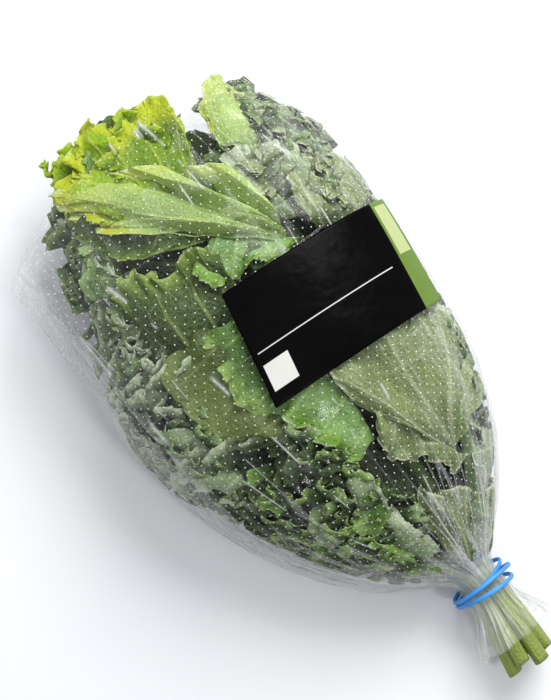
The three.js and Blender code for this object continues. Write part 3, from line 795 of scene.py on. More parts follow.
class Curl:
    """A short stretch of a leaf's curly margin, rising out of the bunch.

    It lies at phi and y, with its heading measured from across the bunch. Its depth is how
    far it rises, and lift carries its margin out to where the film is loose.
    """

    def __init__(self, leaf, tone, phi, y, heading, length, width, depth, strength, lift, seed):
        self.leaf, self.tone, self.phi, self.y = leaf, tone, phi, y
        self.heading, self.length, self.width, self.depth = heading, length, width, depth
        self.strength, self.lift, self.seed = strength, lift, seed

    def surface(self, k, q, up):
        """Points at k along the curl and q of the way from its hidden side to its margin."""
        s = (k - 0.5) * self.length
        out, along, away = 0, 0, 0
        for i, (length, high, begins) in enumerate(CURL_RUFFLES):
            wander = 1.4 * np.sin(s / (1.3 * length) + self.seed)
            turn = 2 * PI * s / length + wander + self.seed * (i + 2)
            grown = self.strength * high * smoothstep(q, begins, 1.05)
            out = out + grown * np.sin(turn)
            along = along - 0.5 * grown * np.sin(2 * turn)
            away = away + 0.5 * grown * np.cos(turn + 0.9)
        ends = np.sin(PI * np.clip(k, 0, 1)) ** 0.4
        bend = 0.006 * math.sin(3 * self.seed) * s * s + 1.6 * np.sin(s / 8 + self.seed)
        across = bend + self.width * q * (0.35 + 0.65 * ends) + away * ends
        s = s + along * ends
        turned, tall = math.cos(self.heading), math.sin(self.heading)
        y = self.y + s * tall + across * turned
        section = Section(y)
        phi = section.walk(self.phi + 0 * y, s * turned - across * tall, 0.9)
        near = np.exp(-((s / 7.3 + 0.4 * q + self.seed) % 1 - 0.5) ** 2 / 0.006) * (1 - 0.6 * q)
        ex, ez = section.spoke(phi)
        reach = np.hypot(ex, ez)
        rise = self.depth * (1 - (1 - q) ** 1.6) * ends
        thick = 0.42 * lerp(1, 0.6, q)
        limit = 0.62 * self.depth
        height = bent(rise + out - 0.45 * self.depth, limit) - limit + 0.4
        share = lerp(drawn(phi, y), 1, self.lift * q)
        share = share + (height + 0.5 * near + up * thick / 2) / reach
        x, z = section.x + share * ex, section.z + share * ez
        return np.stack([x, y, np.maximum(z, TABLE_GAP)], -1), near, s

    def put(self, soup):
        """Adds the curl to a leaf's mesh."""
        k, q = spread(int(self.length * 1.75), 8, 1.25)
        # Painted shade: the curl darkens towards its hidden side.
        put_sheet(soup, self.surface, k, q, 0.5, 1 - q)


DEGREE_LENGTH = 1.3  # about how long a degree round the bunch is, in millimetres


def curls(tones, around, along, count, seed, depth=9.0, width=14.0, length=46.0, strength=1.0,
          lift=0.0):
    """Curls scattered over a part of the bunch, each given to the leaf that lies there.

    The part is given by its degrees round the bunch and its stretch along it.
    """
    pieces = []
    rng = np.random.default_rng(seed)
    cells = count * (around[1] - around[0]) * DEGREE_LENGTH / (along[1] - along[0])
    columns = max(1, round(math.sqrt(cells)))
    rows = math.ceil(count / columns)
    for j in range(rows):
        for i in range(columns):
            shift = rng.uniform(-0.45, 0.45, 2)
            phi = math.radians(lerp(*around, (i + 0.5 + shift[0]) / columns))
            y = lerp(*along, (j + 0.5 + shift[1]) / rows)
            turn = (phi - RING_START + RING_STEP / 2) / RING_STEP
            leaf = int(turn) % RING_LEAVES + 1
            pieces.append(Curl(
                leaf, tones[int(rng.integers(len(tones)))], phi, y, rng.uniform(-2.2, 2.2),
                length * rng.uniform(0.75, 1.2), width * rng.uniform(0.8, 1.2),
                depth * rng.uniform(0.8, 1.15), strength, lift, float(rng.uniform(0, 30))))
    return pieces


# The folds that lie uppermost, then the curls round them. Each fold has its leaf, its tone,
# the line where it leaves the leaf and its margin, both in millimetres from the tie as they
# seem from the camera, and the layers that it runs between.
FOLDS = [
    Fold(2, "lime", [(-30, 250), (-8, 256), (14, 252)],
         [(-38, 286), (-34, 302), (-20, 307), (-8, 298), (2, 302), (14, 306), (24, 298), (22, 270)],
         0.93, low=0.86, seed=4.2, strength=1.1, veins=4, bite=0.5),
    Fold(2, "pale", [(29, 198), (31, 202), (32, 207)],
         [(-46, 262), (-54, 278), (-50, 292), (-30, 288), (-10, 277), (8, 266), (26, 250), (33, 226)],
         0.95, low=0.92, seed=1.9, strength=0.7, veins=3, swell=2.4, bite=0.3, turned=0.3),
    Fold(2, "dark", [(-42, 274), (-18, 246), (2, 222)],
         [(-56, 264), (-44, 240), (-26, 233), (0, 220)],
         0.92, low=0.88, seed=2.7, strength=0.5, veins=3, bite=0.4),
    Fold(2, "dark", [(-64, 176), (-38, 178), (-8, 182)],
         [(-62, 228), (-46, 239), (-32, 224), (-16, 230), (-2, 219)],
         0.93, low=0.86, seed=3.8, strength=0.9, veins=4, swell=1.6, bite=0.7),
    Fold(2, "mint", [(0, 224), (16, 214), (32, 200)],
         [(-22, 214), (-14, 200), (6, 197), (24, 193), (39, 190)],
         0.95, low=0.91, seed=5.1, strength=0.9, veins=4),
    Fold(2, "olive", [(-30, 190), (-26, 156), (-30, 118)],
         [(-60, 188), (-68, 166), (-66, 150), (-56, 136), (-42, 124)],
         0.95, low=0.9, seed=9.2, strength=0.5, veins=3, swell=1.6, bite=0.2),
    Fold(2, "green", [(-8, 184), (-6, 150), (-10, 116)],
         [(-38, 186), (-42, 156), (-38, 130), (-24, 119)],
         0.955, low=0.9, seed=10.3, strength=0.5, veins=3, swell=1.4, bite=0.3),
    Fold(1, "mint", [(4, 142), (6, 120), (2, 92)], [(-30, 132), (-26, 110), (-14, 88)],
         0.96, low=0.9, seed=16.4, strength=0.8, veins=3, bite=0.5),
    Fold(1, "under", [(29, 60), (30, 62), (31, 64)],
         [(17, 92), (5, 114), (4, 136), (24, 152), (48, 150), (66, 130), (67, 104), (60, 78)],
         0.972, low=0.955, seed=17.8, strength=0.6, veins=5, swell=1.2, bite=0.3),
    Fold(7, "under", [(14, 110), (21, 88), (29, 64)],
         [(7, 102), (1, 88), (4, 76), (13, 66), (24, 54), (34, 56)],
         0.955, low=0.94, seed=31.3, strength=1.1, veins=4, swell=1.2, bite=0.5),
    Fold(7, "under", [(-4, 15), (1, 10), (8, 10)],
         [(-5, 50), (5, 60), (14, 50), (24, 46), (33, 36), (27, 24)],
         0.93, low=0.84, seed=32.7, strength=1.2, veins=4, swell=1.4, bite=0.6),
    Fold(2, "haze", [(-24, 84), (-28, 58), (-18, 28)], [(-12, 89), (-10, 54), (-5, 27)],
         0.955, low=0.93, seed=33.1, strength=0.7, veins=2, bite=0.4),
    Fold(7, "haze", [(50, 86), (34, 60), (16, 30)], [(63, 86), (58, 62), (44, 40), (28, 20)],
         0.95, low=0.84, seed=34.9, strength=0.9, veins=3, bite=0.5),
    Fold(2, "mint", [(-36, 44), (-28, 34), (-18, 26)], [(-43, 60), (-30, 55), (-20, 36)],
         0.955, low=0.94, seed=35.2, strength=0.5, veins=1, bite=0.3),
    Fold(7, "haze", [(40, 118), (48, 100), (50, 78)], [(66, 142), (74, 112), (62, 72)],
         0.97, low=0.86, seed=2.8, strength=0.9, veins=4, swell=1.2, bite=0.6),
    Fold(2, "green", [(-14, 74), (-13, 56), (-10, 38)], [(-40, 66), (-34, 48), (-24, 32)],
         0.95, low=0.88, seed=15.3, strength=1.0),
    Fold(1, "pale", [(34, 246), (42, 244), (50, 248)], [(35, 270), (41, 288), (54, 291), (60, 276)],
         0.92, low=0.84, seed=19.1, strength=0.6, veins=2, bite=0.6, turned=0.4),
    Fold(2, "lime", [(-24, 274), (-26, 267), (-29, 259)],
         [(-34, 295), (-45, 294), (-51, 285), (-49, 274), (-43, 262)],
         0.965, low=0.955, seed=36.3, strength=1.3, veins=3, bite=0.7),
    Fold(1, "lime", [(-25, 291), (-18, 289), (-10, 288)],
         [(-33, 299), (-27, 307), (-14, 310), (-3, 303), (-2, 292)],
         0.95, low=0.93, seed=37.8, strength=1.3, veins=3, bite=0.8),
    Fold(1, "haze", [(30, 214), (38, 208), (50, 204)], [(26, 252), (44, 256), (60, 238)],
         0.93, low=0.84, seed=21.3, strength=1.0, veins=4, swell=1.6),
    Fold(1, "under", [(46, 196), (56, 188), (62, 176)], [(46, 226), (66, 232), (78, 206), (78, 184)],
         0.965, low=0.86, seed=22.9, strength=0.8, veins=3, swell=1.4, bite=0.6),
    Fold(3, "frill", [(-44, 246), (-50, 226), (-54, 204)], [(-56, 266), (-64, 240), (-72, 208)],
         0.9, low=0.82, seed=24.2, strength=1.3, veins=4, swell=1.6, bite=0.6),
    Fold(4, "haze", [(-64, 150), (-62, 134), (-58, 116)], [(-86, 164), (-88, 138), (-78, 108)],
         0.95, low=0.84, seed=25.6, strength=1.2, veins=4, swell=1.6, bite=0.6),
    *curls(("lime", "lime", "green"), (86, 140), (272, 290), 9, 8, depth=7, width=11, length=26),
    *curls(("haze", "under", "frill"), (2, 58), (198, 266), 19, 1, strength=1.2),
    # Some of these curls wear the dark tone, partly as painted shade between the others.
    *curls(("frill", "green", "dark_green_and_painted_shade"), (100, 190), (32, 122), 42, 2, strength=1.3, length=38),
    *curls(("haze", "frill", "haze"), (136, 190), (122, 272), 30, 3, strength=1.2),
    *curls(("under", "haze", "frill"), (-20, 26), (40, 196), 26, 4, depth=10.0),
    *curls(("haze", "frill", "under"), (160, 204), (112, 264), 14, 7, depth=10.0, width=12,
           length=28, strength=1.4, lift=0.4),
    # Some of these curls wear the dark tone, partly as painted shade between the others.
    *curls(("frill", "dark_green_and_painted_shade", "haze"), (200, 344), (44, 258), 24, 5, depth=8.0),
]


# ---------------------------------------------------------------- film sleeve

FLAT_WIDTH, FLAT_LENGTH = 432, 322  # the film laid out flat, in millimetres
FILM_NECK_Y, FILM_NECK_SHARE = 56, 0.24  # the share of its rings that lie below this y
INNER_SHEET = 10  # how far to the side the inner face's UVs lie, in metres

# The perforations, in metres: how far apart they are, how large, and where they begin.
PITCH, HOLE_RADIUS, FIRST_ROW = 0.0039, 0.00037, 0.045
LATTICE_SLANT = math.radians(31)


def creases(phi, y):
    """How far the film is dented or puffed out: folds all over, and rays from the tie."""
    u, v = phi / (2 * PI) * FLAT_WIDTH, y
    total = 0
    for k in range(9):
        turn, length = 0.7 * k * k + 0.35, 21 + 9 * ((k * 5) % 7)
        along = (u * math.cos(turn) + v * math.sin(turn)) / length + 0.37 * k
        along = along + 0.22 * np.sin(v / 47 + k) + 0.2 * np.sin(6 * phi + 2 * k)
        ridge = 1 - 2 * np.abs(along - np.floor(along) - 0.5)
        where = 0.5 + 0.5 * np.sin(3 * phi + 1.9 * k + v / (31 + 4 * k))
        total = total + (ridge - 0.5) * where ** 2 * (0.55 if k % 3 else 0.95)
    gathered = smoothstep(y, 8, 20) * (1 - smoothstep(y, 60, 175))
    rays = 0
    for k, many in enumerate((13, 21, 34)):
        turn = many * phi / 2 + 1.1 * k + v / (70 + 25 * k) + 0.8 * np.sin(2 * phi + k)
        rays = rays + (np.abs(np.sin(turn)) - 0.6) * (1.5, 1.0, 0.6)[k]
    neck = 1 - smoothstep(np.abs(y), 8, 14)
    skirt = smoothstep(-y, 8, 16)
    rays = rays * (1.7 * gathered + 0.4 * neck + 0.8 * skirt)
    body = smoothstep(y, 14, 40)
    return body * total + rays * (1 - 0.72 * neck)


def under_label(x, z, y):
    """1 where the label lies on the film."""
    across = smoothstep(x, LABEL_START_X - 12, LABEL_START_X) * smoothstep(z, 40, 46)
    return across * smoothstep(y, 118, 128) * (1 - smoothstep(y, 196, 206))


def film_surface(phi, y, n):
    """A point of the creased film, smooth under the label and flat on the table."""
    x, z = film_point(phi, y, FILM_HALF)
    flat = np.clip(1 - smoothstep(z, 0.6, 4), 0, 1)
    free = (1 - 0.92 * under_label(x, z, y)) * (1 - flat)
    raised = bent(0.6 * creases(phi, y), 1.7) * free
    x, z = film_point(phi, y, raised + n)
    return np.stack([x, y + 0 * x, np.maximum(z, 0.05 - n)], -1)


def milkiness(phi, y):
    """How white the film is: at its neck, along its lower left and a little on the left."""
    neck = np.maximum(1 - smoothstep(np.abs(y), 12, 34), 0.55 * smoothstep(-y, 8, 14))
    clearer = smoothstep(np.cos(phi), -0.45, 0.25) * smoothstep(-y, 5, 10)
    strip = np.exp(-((phi - 3.4) / 0.3) ** 2) * smoothstep(y, 2, 18)
    strip = strip * (1 - smoothstep(y, 95, 135))
    side = 0.3 * np.exp(-((phi - 2.9) / 0.55) ** 2) * smoothstep(y, 100, 170)
    return np.maximum(np.maximum(neck * (1 - 0.85 * clearer), strip), side)


class Film:
    """The open sleeve: a thin closed shell, with its place on the flat sheet as UVs."""

    def __init__(self, around, along, thickness):
        self.around, self.along, self.thickness = around, along, thickness

    def mesh(self, name):
        soup = Soup("whole", "loose")
        phi = np.linspace(0, 2 * PI, self.around + 1)[None, :]
        share = np.linspace(0, 1, self.along)[:, None]
        neck, body = share / FILM_NECK_SHARE, (share - FILM_NECK_SHARE) / (1 - FILM_NECK_SHARE)
        ragged = 1.2 * np.sin(9 * phi) + 0.8 * np.sin(23 * phi + 1)
        top = rim_y(phi[0])[None, :] + 0.6 * ragged
        y = np.where(neck < 1, lerp(SKIRT_END_Y, FILM_NECK_Y, neck), lerp(FILM_NECK_Y, top, body))
        y = np.maximum(y - (share == 0) * (1 + ragged), SKIRT_END_Y)
        phi = phi + 0 * y
        ids = {}
        wound = np.where(phi >= 2 * PI - 1e-9, 0.0, phi)
        for outer in (1, 0):
            grid = film_surface(wound, y, 0 if outer else -self.thickness)
            u = phi / (2 * PI) * FLAT_WIDTH / 1000 + (0 if outer else INNER_SHEET)
            ids[outer] = soup.put(grid, (u, (y - SKIRT_END_Y) / 1000),
                                  whole=milkiness(wound, y), loose=smoothstep(y, 20, 60))
            soup.skin(ids[outer], outer == 1)
        for row, turned in ((0, True), (-1, False)):
            soup.skin(np.stack([ids[0][row], ids[1][row]], 0), turned)
        return soup.mesh(name)


def perforation_tree():
    """Small flat beads on a slanted lattice over a sheet, as a Geometry Nodes tree."""
    tree = bpy.data.node_groups.new("Perforations", "GeometryNodeTree")
    face = tree.interface
    face.new_socket("Geometry", in_out="OUTPUT", socket_type="NodeSocketGeometry")
    face.new_socket("Geometry", in_out="INPUT", socket_type="NodeSocketGeometry")
    for name, value in (("Sheet Width", FLAT_WIDTH / 1000), ("Sheet Length", FLAT_LENGTH / 1000),
                        ("Pitch", PITCH), ("Slant", LATTICE_SLANT),
                        ("Hole Radius", HOLE_RADIUS), ("First Row", FIRST_ROW)):
        socket = face.new_socket(name, in_out="INPUT", socket_type="NodeSocketFloat")
        socket.default_value = value
    face.new_socket("Material", in_out="INPUT", socket_type="NodeSocketMaterial")
    n = Nodes(tree)
    given = n.add("NodeGroupInput").outputs
    size = n.times(n.plus(given["Sheet Width"], given["Sheet Length"]), 1.05)
    count = n.plus(n.math("FLOOR", n.math("DIVIDE", size, given["Pitch"])), 1.0)
    lattice = n.add("GeometryNodeMeshGrid", {
        "Size X": size, "Size Y": size, "Vertices X": count, "Vertices Y": count})
    turn = n.add("ShaderNodeCombineXYZ", {"Z": given["Slant"]})
    centre = n.add("ShaderNodeCombineXYZ", {
        "X": n.times(given["Sheet Width"], 0.5), "Y": n.times(given["Sheet Length"], 0.5)})
    moved = n.add("GeometryNodeTransform", {
        "Geometry": lattice.outputs["Mesh"], "Rotation": turn.outputs[0],
        "Translation": centre.outputs[0]})
    place = n.add("GeometryNodeInputPosition").outputs[0]
    uv = n.add("GeometryNodeInputNamedAttribute", {"Name": "UVMap"}, data_type="FLOAT_VECTOR")
    normal = n.add("GeometryNodeInputNormal").outputs[0]

    def sampled(value):
        return n.add("GeometryNodeSampleUVSurface", {
            "Mesh": given["Geometry"], "Value": value, "UV Map": uv.outputs["Attribute"],
            "Sample UV": place}, data_type="FLOAT_VECTOR")

    sample = sampled(place)
    split = n.add("ShaderNodeSeparateXYZ", {0: place})
    low = n.add("FunctionNodeCompare", {"A": split.outputs["Y"], "B": given["First Row"]},
                operation="LESS_THAN", data_type="FLOAT")
    off = n.add("FunctionNodeBooleanMath", {0: sample.outputs["Is Valid"]}, operation="NOT")
    gone = n.add("FunctionNodeBooleanMath", {0: off.outputs[0], 1: low.outputs[0]}, operation="OR")
    kept = n.add("GeometryNodeDeleteGeometry", {
        "Geometry": moved.outputs[0], "Selection": gone.outputs[0]}, domain="POINT")
    # The normal is stored before the lattice moves onto the film, while it can be sampled.
    facing = n.add("GeometryNodeStoreNamedAttribute", {
        "Geometry": kept.outputs[0], "Name": "facing",
        "Value": sampled(normal).outputs["Value"]}, data_type="FLOAT_VECTOR", domain="POINT")
    onto = n.add("GeometryNodeSetPosition", {
        "Geometry": facing.outputs[0], "Position": sample.outputs["Value"]})
    points = n.add("GeometryNodeMeshToPoints", {"Mesh": onto.outputs[0]})
    bead = n.add("GeometryNodeMeshUVSphere", {
        "Radius": given["Hole Radius"], "Segments": 5, "Rings": 2})
    stored = n.add("GeometryNodeInputNamedAttribute", {"Name": "facing"}, data_type="FLOAT_VECTOR")
    upright = n.add("FunctionNodeAlignRotationToVector", {"Vector": stored.outputs["Attribute"]})
    beads = n.add("GeometryNodeInstanceOnPoints", {
        "Points": points.outputs[0], "Instance": bead.outputs[0],
        "Rotation": upright.outputs[0], "Scale": (1.0, 1.0, 0.3)})
    real = n.add("GeometryNodeRealizeInstances", {0: beads.outputs[0]})
    finish = n.add("GeometryNodeSetMaterial", {
        "Geometry": real.outputs[0], "Material": given["Material"]})
    n.add("NodeGroupOutput", {0: finish.outputs[0]})
    return tree


def grown_on(source, name, tree, values):
    """The plain mesh that a Geometry Nodes tree makes from a copy of source's mesh."""
    host = new_object(name + "_host", source.data.copy())
    modifier = host.modifiers.new("Grown", "NODES")
    modifier.node_group = tree
    sockets = {item.name: item.identifier for item in tree.interface.items_tree
               if item.in_out == "INPUT"}
    for key, value in values.items():
        modifier[sockets[key]] = value
    graph = bpy.context.evaluated_depsgraph_get()
    mesh = bpy.data.meshes.new_from_object(host.evaluated_get(graph))
    host.modifiers.remove(modifier)
    bpy.data.objects.remove(host)
    mesh.name = name
    if not mesh.polygons:
        raise RuntimeError("nothing grew on " + source.name)
    return new_object(name, mesh)


# ---------------------------------------------------------------- band and label

BAND_TURNS, BAND_RADIUS, BAND_GAP = 3, 1.1, 0.7
BAND_SPREAD_LEFT, BAND_SPREAD_RIGHT, BAND_SPREAD_OUT = 1.6, 5.4, 1.45
BAND_SQUARE = 3.2  # 2 would be a round strand
LABEL_LENGTH, LABEL_WIDTH, LABEL_GAP = 106, 58, 0.9
LABEL_START_X, LABEL_MIDDLE_Y = -27, 159
LABEL_TURN, LABEL_LEAN = math.radians(-4), math.radians(12)


def band_path(t):
    """The band's middle line, t from 0 to 1 along its closed loop."""
    turn, across = 2 * PI * BAND_TURNS * t, 2 * PI * t
    section = Section(np.zeros_like(t))
    film = film_point(np.zeros_like(t), np.full_like(t, BAND_SPREAD_RIGHT + 2), FILM_HALF)[0]
    radius = film - section.x + BAND_RADIUS + BAND_GAP + BAND_SPREAD_OUT * (1 + np.cos(across))
    spread = lerp(BAND_SPREAD_LEFT, BAND_SPREAD_RIGHT, (1 + np.cos(turn)) / 2)
    return np.stack([section.x + radius * np.cos(turn), spread * np.sin(across),
                     section.z + radius * np.sin(turn)], -1)


def band_mesh(name, steps, sides):
    """The band: a squarish rubber strand that follows its path and twists a little."""
    soup = Soup("round")
    t = np.arange(steps) / steps
    at = band_path(t)
    along = band_path(t + 0.5 / steps) - band_path(t - 0.5 / steps)
    along /= np.linalg.norm(along, axis=1)[:, None]
    out = np.cross([0, 1, 0], along)
    out /= np.linalg.norm(out, axis=1)[:, None]
    up = np.cross(along, out)
    a = 2 * PI * np.arange(sides) / sides
    twist = 0.5 * np.sin(2 * PI * 2 * t)[:, None]
    square = np.abs(np.cos(a)) ** BAND_SQUARE + np.abs(np.sin(a)) ** BAND_SQUARE
    square = square ** (-1 / BAND_SQUARE)
    r = BAND_RADIUS * square * (1 + 0.05 * np.sin(2 * PI * 11 * t)[:, None])
    flat, tall = 0.78 * r * np.cos(a), 0.98 * r * np.sin(a)
    ca, sa = np.cos(twist), np.sin(twist)
    grid = (at[:, None] + (flat * ca - tall * sa)[..., None] * out[:, None]
            + (flat * sa + tall * ca)[..., None] * up[:, None])
    ids = soup.put(grid, (t[:, None], a[None, :] / (2 * PI)), round=t[:, None])
    ids = np.concatenate([ids, ids[:, :1]], 1)
    soup.skin(np.concatenate([ids, ids[:1]], 0))
    return soup.mesh(name)


def phi_at(x, y):
    """The direction at which the sleeve's upper side is at a given x."""
    low, high = np.zeros_like(x), np.full_like(x, PI)
    for _ in range(30):
        middle = (low + high) / 2
        beyond = film_point(middle, y, 0)[0] > x
        low, high = np.where(beyond, middle, low), np.where(beyond, high, middle)
    return low


def label_mesh(name, long, wide, thickness):
    """The label: a thin sheet that follows the sleeve, with its left corners lifted."""
    soup = Soup("top")
    j, i = np.meshgrid(np.arange(wide + 1), np.arange(long + 1), indexing="ij")
    across, along = (j / wide - 0.5) * LABEL_WIDTH, i / long * LABEL_LENGTH
    y = LABEL_MIDDLE_Y + across * math.cos(LABEL_TURN)
    y = y + (along - LABEL_LENGTH / 2) * math.sin(LABEL_TURN)
    start = phi_at(LABEL_START_X + across * math.sin(LABEL_LEAN), y)
    phi = Section(y).walk(start, -along, 1.02)
    corner = (np.abs(across) / LABEL_WIDTH * 2) ** 6 * (1 - smoothstep(along, 0, 9))
    lift = 0.25 * np.sin(along / 13) * np.sin(across / 17 + 1) + 0.7 * corner
    ids = []
    for top in (1, 0):
        x, z = film_point(phi, y, FILM_HALF + LABEL_GAP + thickness * top + np.maximum(lift, -0.2))
        ids.append(soup.put(np.stack([x, y, z], -1), (along / 1000, j / wide * LABEL_WIDTH / 1000),
                            top=float(top)))
    soup.sheet(*ids)
    return soup.mesh(name)


# ---------------------------------------------------------------- materials

# The leaves' tones: the face that is outwards, the inward face, the margin, the tip and
# the veins, how much bloom there is, and how far from the stalk the tip's colour begins.
TONES = {
    "haze": dict(outer=(124, 146, 106), inner=(62, 88, 42), margin=(184, 198, 168),
                 tip=(184, 198, 168), vein=(178, 192, 160), bloom=0.5, fades=0.95),
    "frill": dict(outer=(56, 84, 30), inner=(86, 116, 50), margin=(136, 162, 104),
                  tip=(136, 162, 104), vein=(138, 162, 100), bloom=0.35, fades=0.95),
    "lime": dict(outer=(128, 164, 20), inner=(146, 180, 50), margin=(168, 192, 40),
                 tip=(176, 188, 26), vein=(190, 206, 90), bloom=0.05, fades=0.8),
    "pale": dict(outer=(166, 194, 112), inner=(116, 152, 60), margin=(186, 204, 104),
                 tip=(190, 196, 40), vein=(194, 212, 142), bloom=0.3, fades=0.88),
    "dark": dict(outer=(42, 66, 4), inner=(66, 92, 26), margin=(74, 102, 18),
                 tip=(112, 138, 50), vein=(150, 170, 96), bloom=0.08, fades=0.98),
    "mint": dict(outer=(126, 166, 94), inner=(92, 130, 40), margin=(96, 140, 30),
                 tip=(104, 148, 30), vein=(176, 200, 136), bloom=0.3, fades=0.8),
    "olive": dict(outer=(84, 104, 40), inner=(54, 76, 20), margin=(108, 128, 56),
                  tip=(126, 144, 72), vein=(138, 154, 92), bloom=0.35, fades=0.95),
    "green": dict(outer=(76, 116, 36), inner=(100, 136, 48), margin=(142, 174, 88),
                  tip=(142, 174, 88), vein=(156, 180, 106), bloom=0.2, fades=0.95),
    "under": dict(outer=(115, 133, 82), inner=(71, 91, 40), margin=(129, 144, 96),
                  tip=(114, 132, 77), vein=(206, 212, 176), bloom=0.45, fades=0.95),
    # A dark green that the kale has, kept darker as painted shade: the leaves beneath and some curls
    # wear it, so the gaps between folds read dark.
    "dark_green_and_painted_shade": dict(outer=(30, 48, 14), inner=(40, 62, 18), margin=(62, 88, 38),
                 tip=(76, 104, 40), vein=(96, 120, 60), bloom=0.2, fades=0.95),
}
# Leaves 1 to 3 lie beneath the others; their dark tone is partly painted shade in the gaps.
LEAF_TONES = ("dark_green_and_painted_shade", "dark_green_and_painted_shade", "dark_green_and_painted_shade", "frill", "frill", "dark", "haze", "dark")
STALK, STALK_PALE, STALK_BLOOM = (118, 136, 52), (158, 170, 92), (170, 182, 150)
BLADE_BLOOM, GLOW = (166, 184, 150), (170, 200, 30)  # the wax on a blade, the light through it


def blade_colour(n, palette, place, fine, cells):
    """A blade's colour: a tone for each face, then the tip, the margin and the veins."""
    colours = {key: linear(*value) for key, value in palette.items() if hasattr(value, "__len__")}
    edge = n.attribute("edge")
    patch = n.noise(place, 26, 4, 0.6)
    blade = n.mix(n.attribute("face"), colours["inner"], colours["outer"])
    shade = n.ramp(patch, ((0.3, (0.62, 0.67, 0.56, 1)), (0.7, (1.26, 1.22, 1.18, 1))))
    blade = n.mix(1.0, blade, shade, "MULTIPLY")
    tipped = n.plus(n.attribute("along"), n.times(n.less(patch, 0.5), 0.35))
    tipped = n.plus(tipped, n.times(edge, 0.12))
    tipped = n.smooth(tipped, palette["fades"] - 0.14, palette["fades"] + 0.12)
    blade = n.mix(tipped, blade, colours["tip"])
    rim = n.smooth(n.plus(edge, n.times(n.less(fine, 0.5), 0.5)), 0.62, 0.95)
    rim = n.times(rim, n.less(1.0, n.times(tipped, 0.8)))
    blade = n.mix(n.times(rim, 0.75), blade, colours["margin"])
    outline = n.ramp(edge, ((0.94, 0.0), (0.985, 1.0)))
    blade = n.mix(n.times(outline, 0.8), blade, colours["vein"])
    net = n.times(n.ramp(cells, ((0.0, 1.0), (0.16, 0.0))), 0.2)
    lines = n.math("MAXIMUM", n.math("POWER", n.attribute("vein"), 1.6), net)
    return n.mix(n.times(lines, 0.8), blade, colours["vein"])


def stalk_colour(n, bloom):
    """A stalk's colour: long streaks of two greens under a little bloom."""
    streak = n.ramp(n.noise(n.laid((900.0, 26.0)), 1.0, 3), ((0.3, 0.0), (0.7, 1.0)))
    stalk = n.mix(streak, linear(*STALK), linear(*STALK_PALE))
    return n.mix(n.times(bloom, 0.3), stalk, linear(*STALK_BLOOM))


def leaf_material(name, palette, seed):
    """A leaf's skin: blade and stalk, with painted shade where it runs under the others, and lit a
    little from behind.
    """
    n = MaterialNodes(name)
    shift = (0.13 * seed, 0.07 * seed, 0.0)
    place = n.add("ShaderNodeVectorMath", {0: n.place(), 1: shift}, operation="ADD").outputs[0]
    fine, speck = n.noise(place, 180, 5, 0.65), n.noise(place, 900, 3, 0.6)
    cells = n.add("ShaderNodeTexVoronoi", {"Vector": place, "Scale": 420.0, "Randomness": 0.9},
                  feature="DISTANCE_TO_EDGE").outputs["Distance"]
    bloom = n.ramp(n.noise(place, 60, 4, 0.7, 0.4), ((0.42, 0.0), (0.72, 1.0)))
    bloom = n.times(bloom, palette["bloom"])
    blade = blade_colour(n, palette, place, fine, cells)
    blade = n.mix(n.times(bloom, 0.5), blade, linear(*BLADE_BLOOM))
    dots = n.ramp(speck, ((0.35, (0.86, 0.86, 0.84, 1)), (0.62, (1.05, 1.05, 1.05, 1))))
    blade = n.mix(0.8, blade, dots, "MULTIPLY")
    colour = n.mix(n.attribute("stalk"), blade, stalk_colour(n, bloom))
    # Painted shade, darkest where a fold or curl runs under the others.
    painted_shade_tint = n.ramp(n.attribute("dark_green_and_painted_shade"), ((0.1, 1.0), (0.9, (0.2, 0.26, 0.17, 1))))
    colour = n.mix(1.0, colour, painted_shade_tint, "MULTIPLY")
    height = n.plus(n.plus(n.times(cells, 1.2), n.times(fine, 0.5)), n.times(speck, 0.08))
    normal = n.bump(height, 0.55, 0.0012)
    skin = n.coat(colour, 0.42, 0.3, Normal=normal)
    glow = n.mix(0.5, colour, linear(*GLOW))
    behind = n.add("ShaderNodeBsdfTranslucent", {"Color": glow, "Normal": normal}).outputs[0]
    return n.finish(n.blend(0.16, skin, behind))


def film_creases(n, place, soft):
    """Sharp creases, whitened partly as real creasing and partly as painted highlights: rays that run
    out from the tie, and a few that cross and break off.
    """
    rays = n.lines((72.0, 6.0), 0.0, 0.6, 0.5, 0.018)
    along = n.add("ShaderNodeSeparateXYZ", {0: n.uv()}).outputs["Y"]
    patchy = n.ramp(soft, ((0.4, 0.2), (0.6, 1.0)))
    rays = n.times(n.times(rays, n.smooth(along, 0.19, 0.05)), patchy)
    aslant = n.lines((34.0, 3.0), 0.75, 0.4, 0.52, 0.009)
    broken = n.ramp(n.noise(place, 40, 2, 0.5), ((0.54, 0.0), (0.6, 1.0)))
    return n.math("MAXIMUM", rays, n.times(n.times(aslant, broken), 1.5))


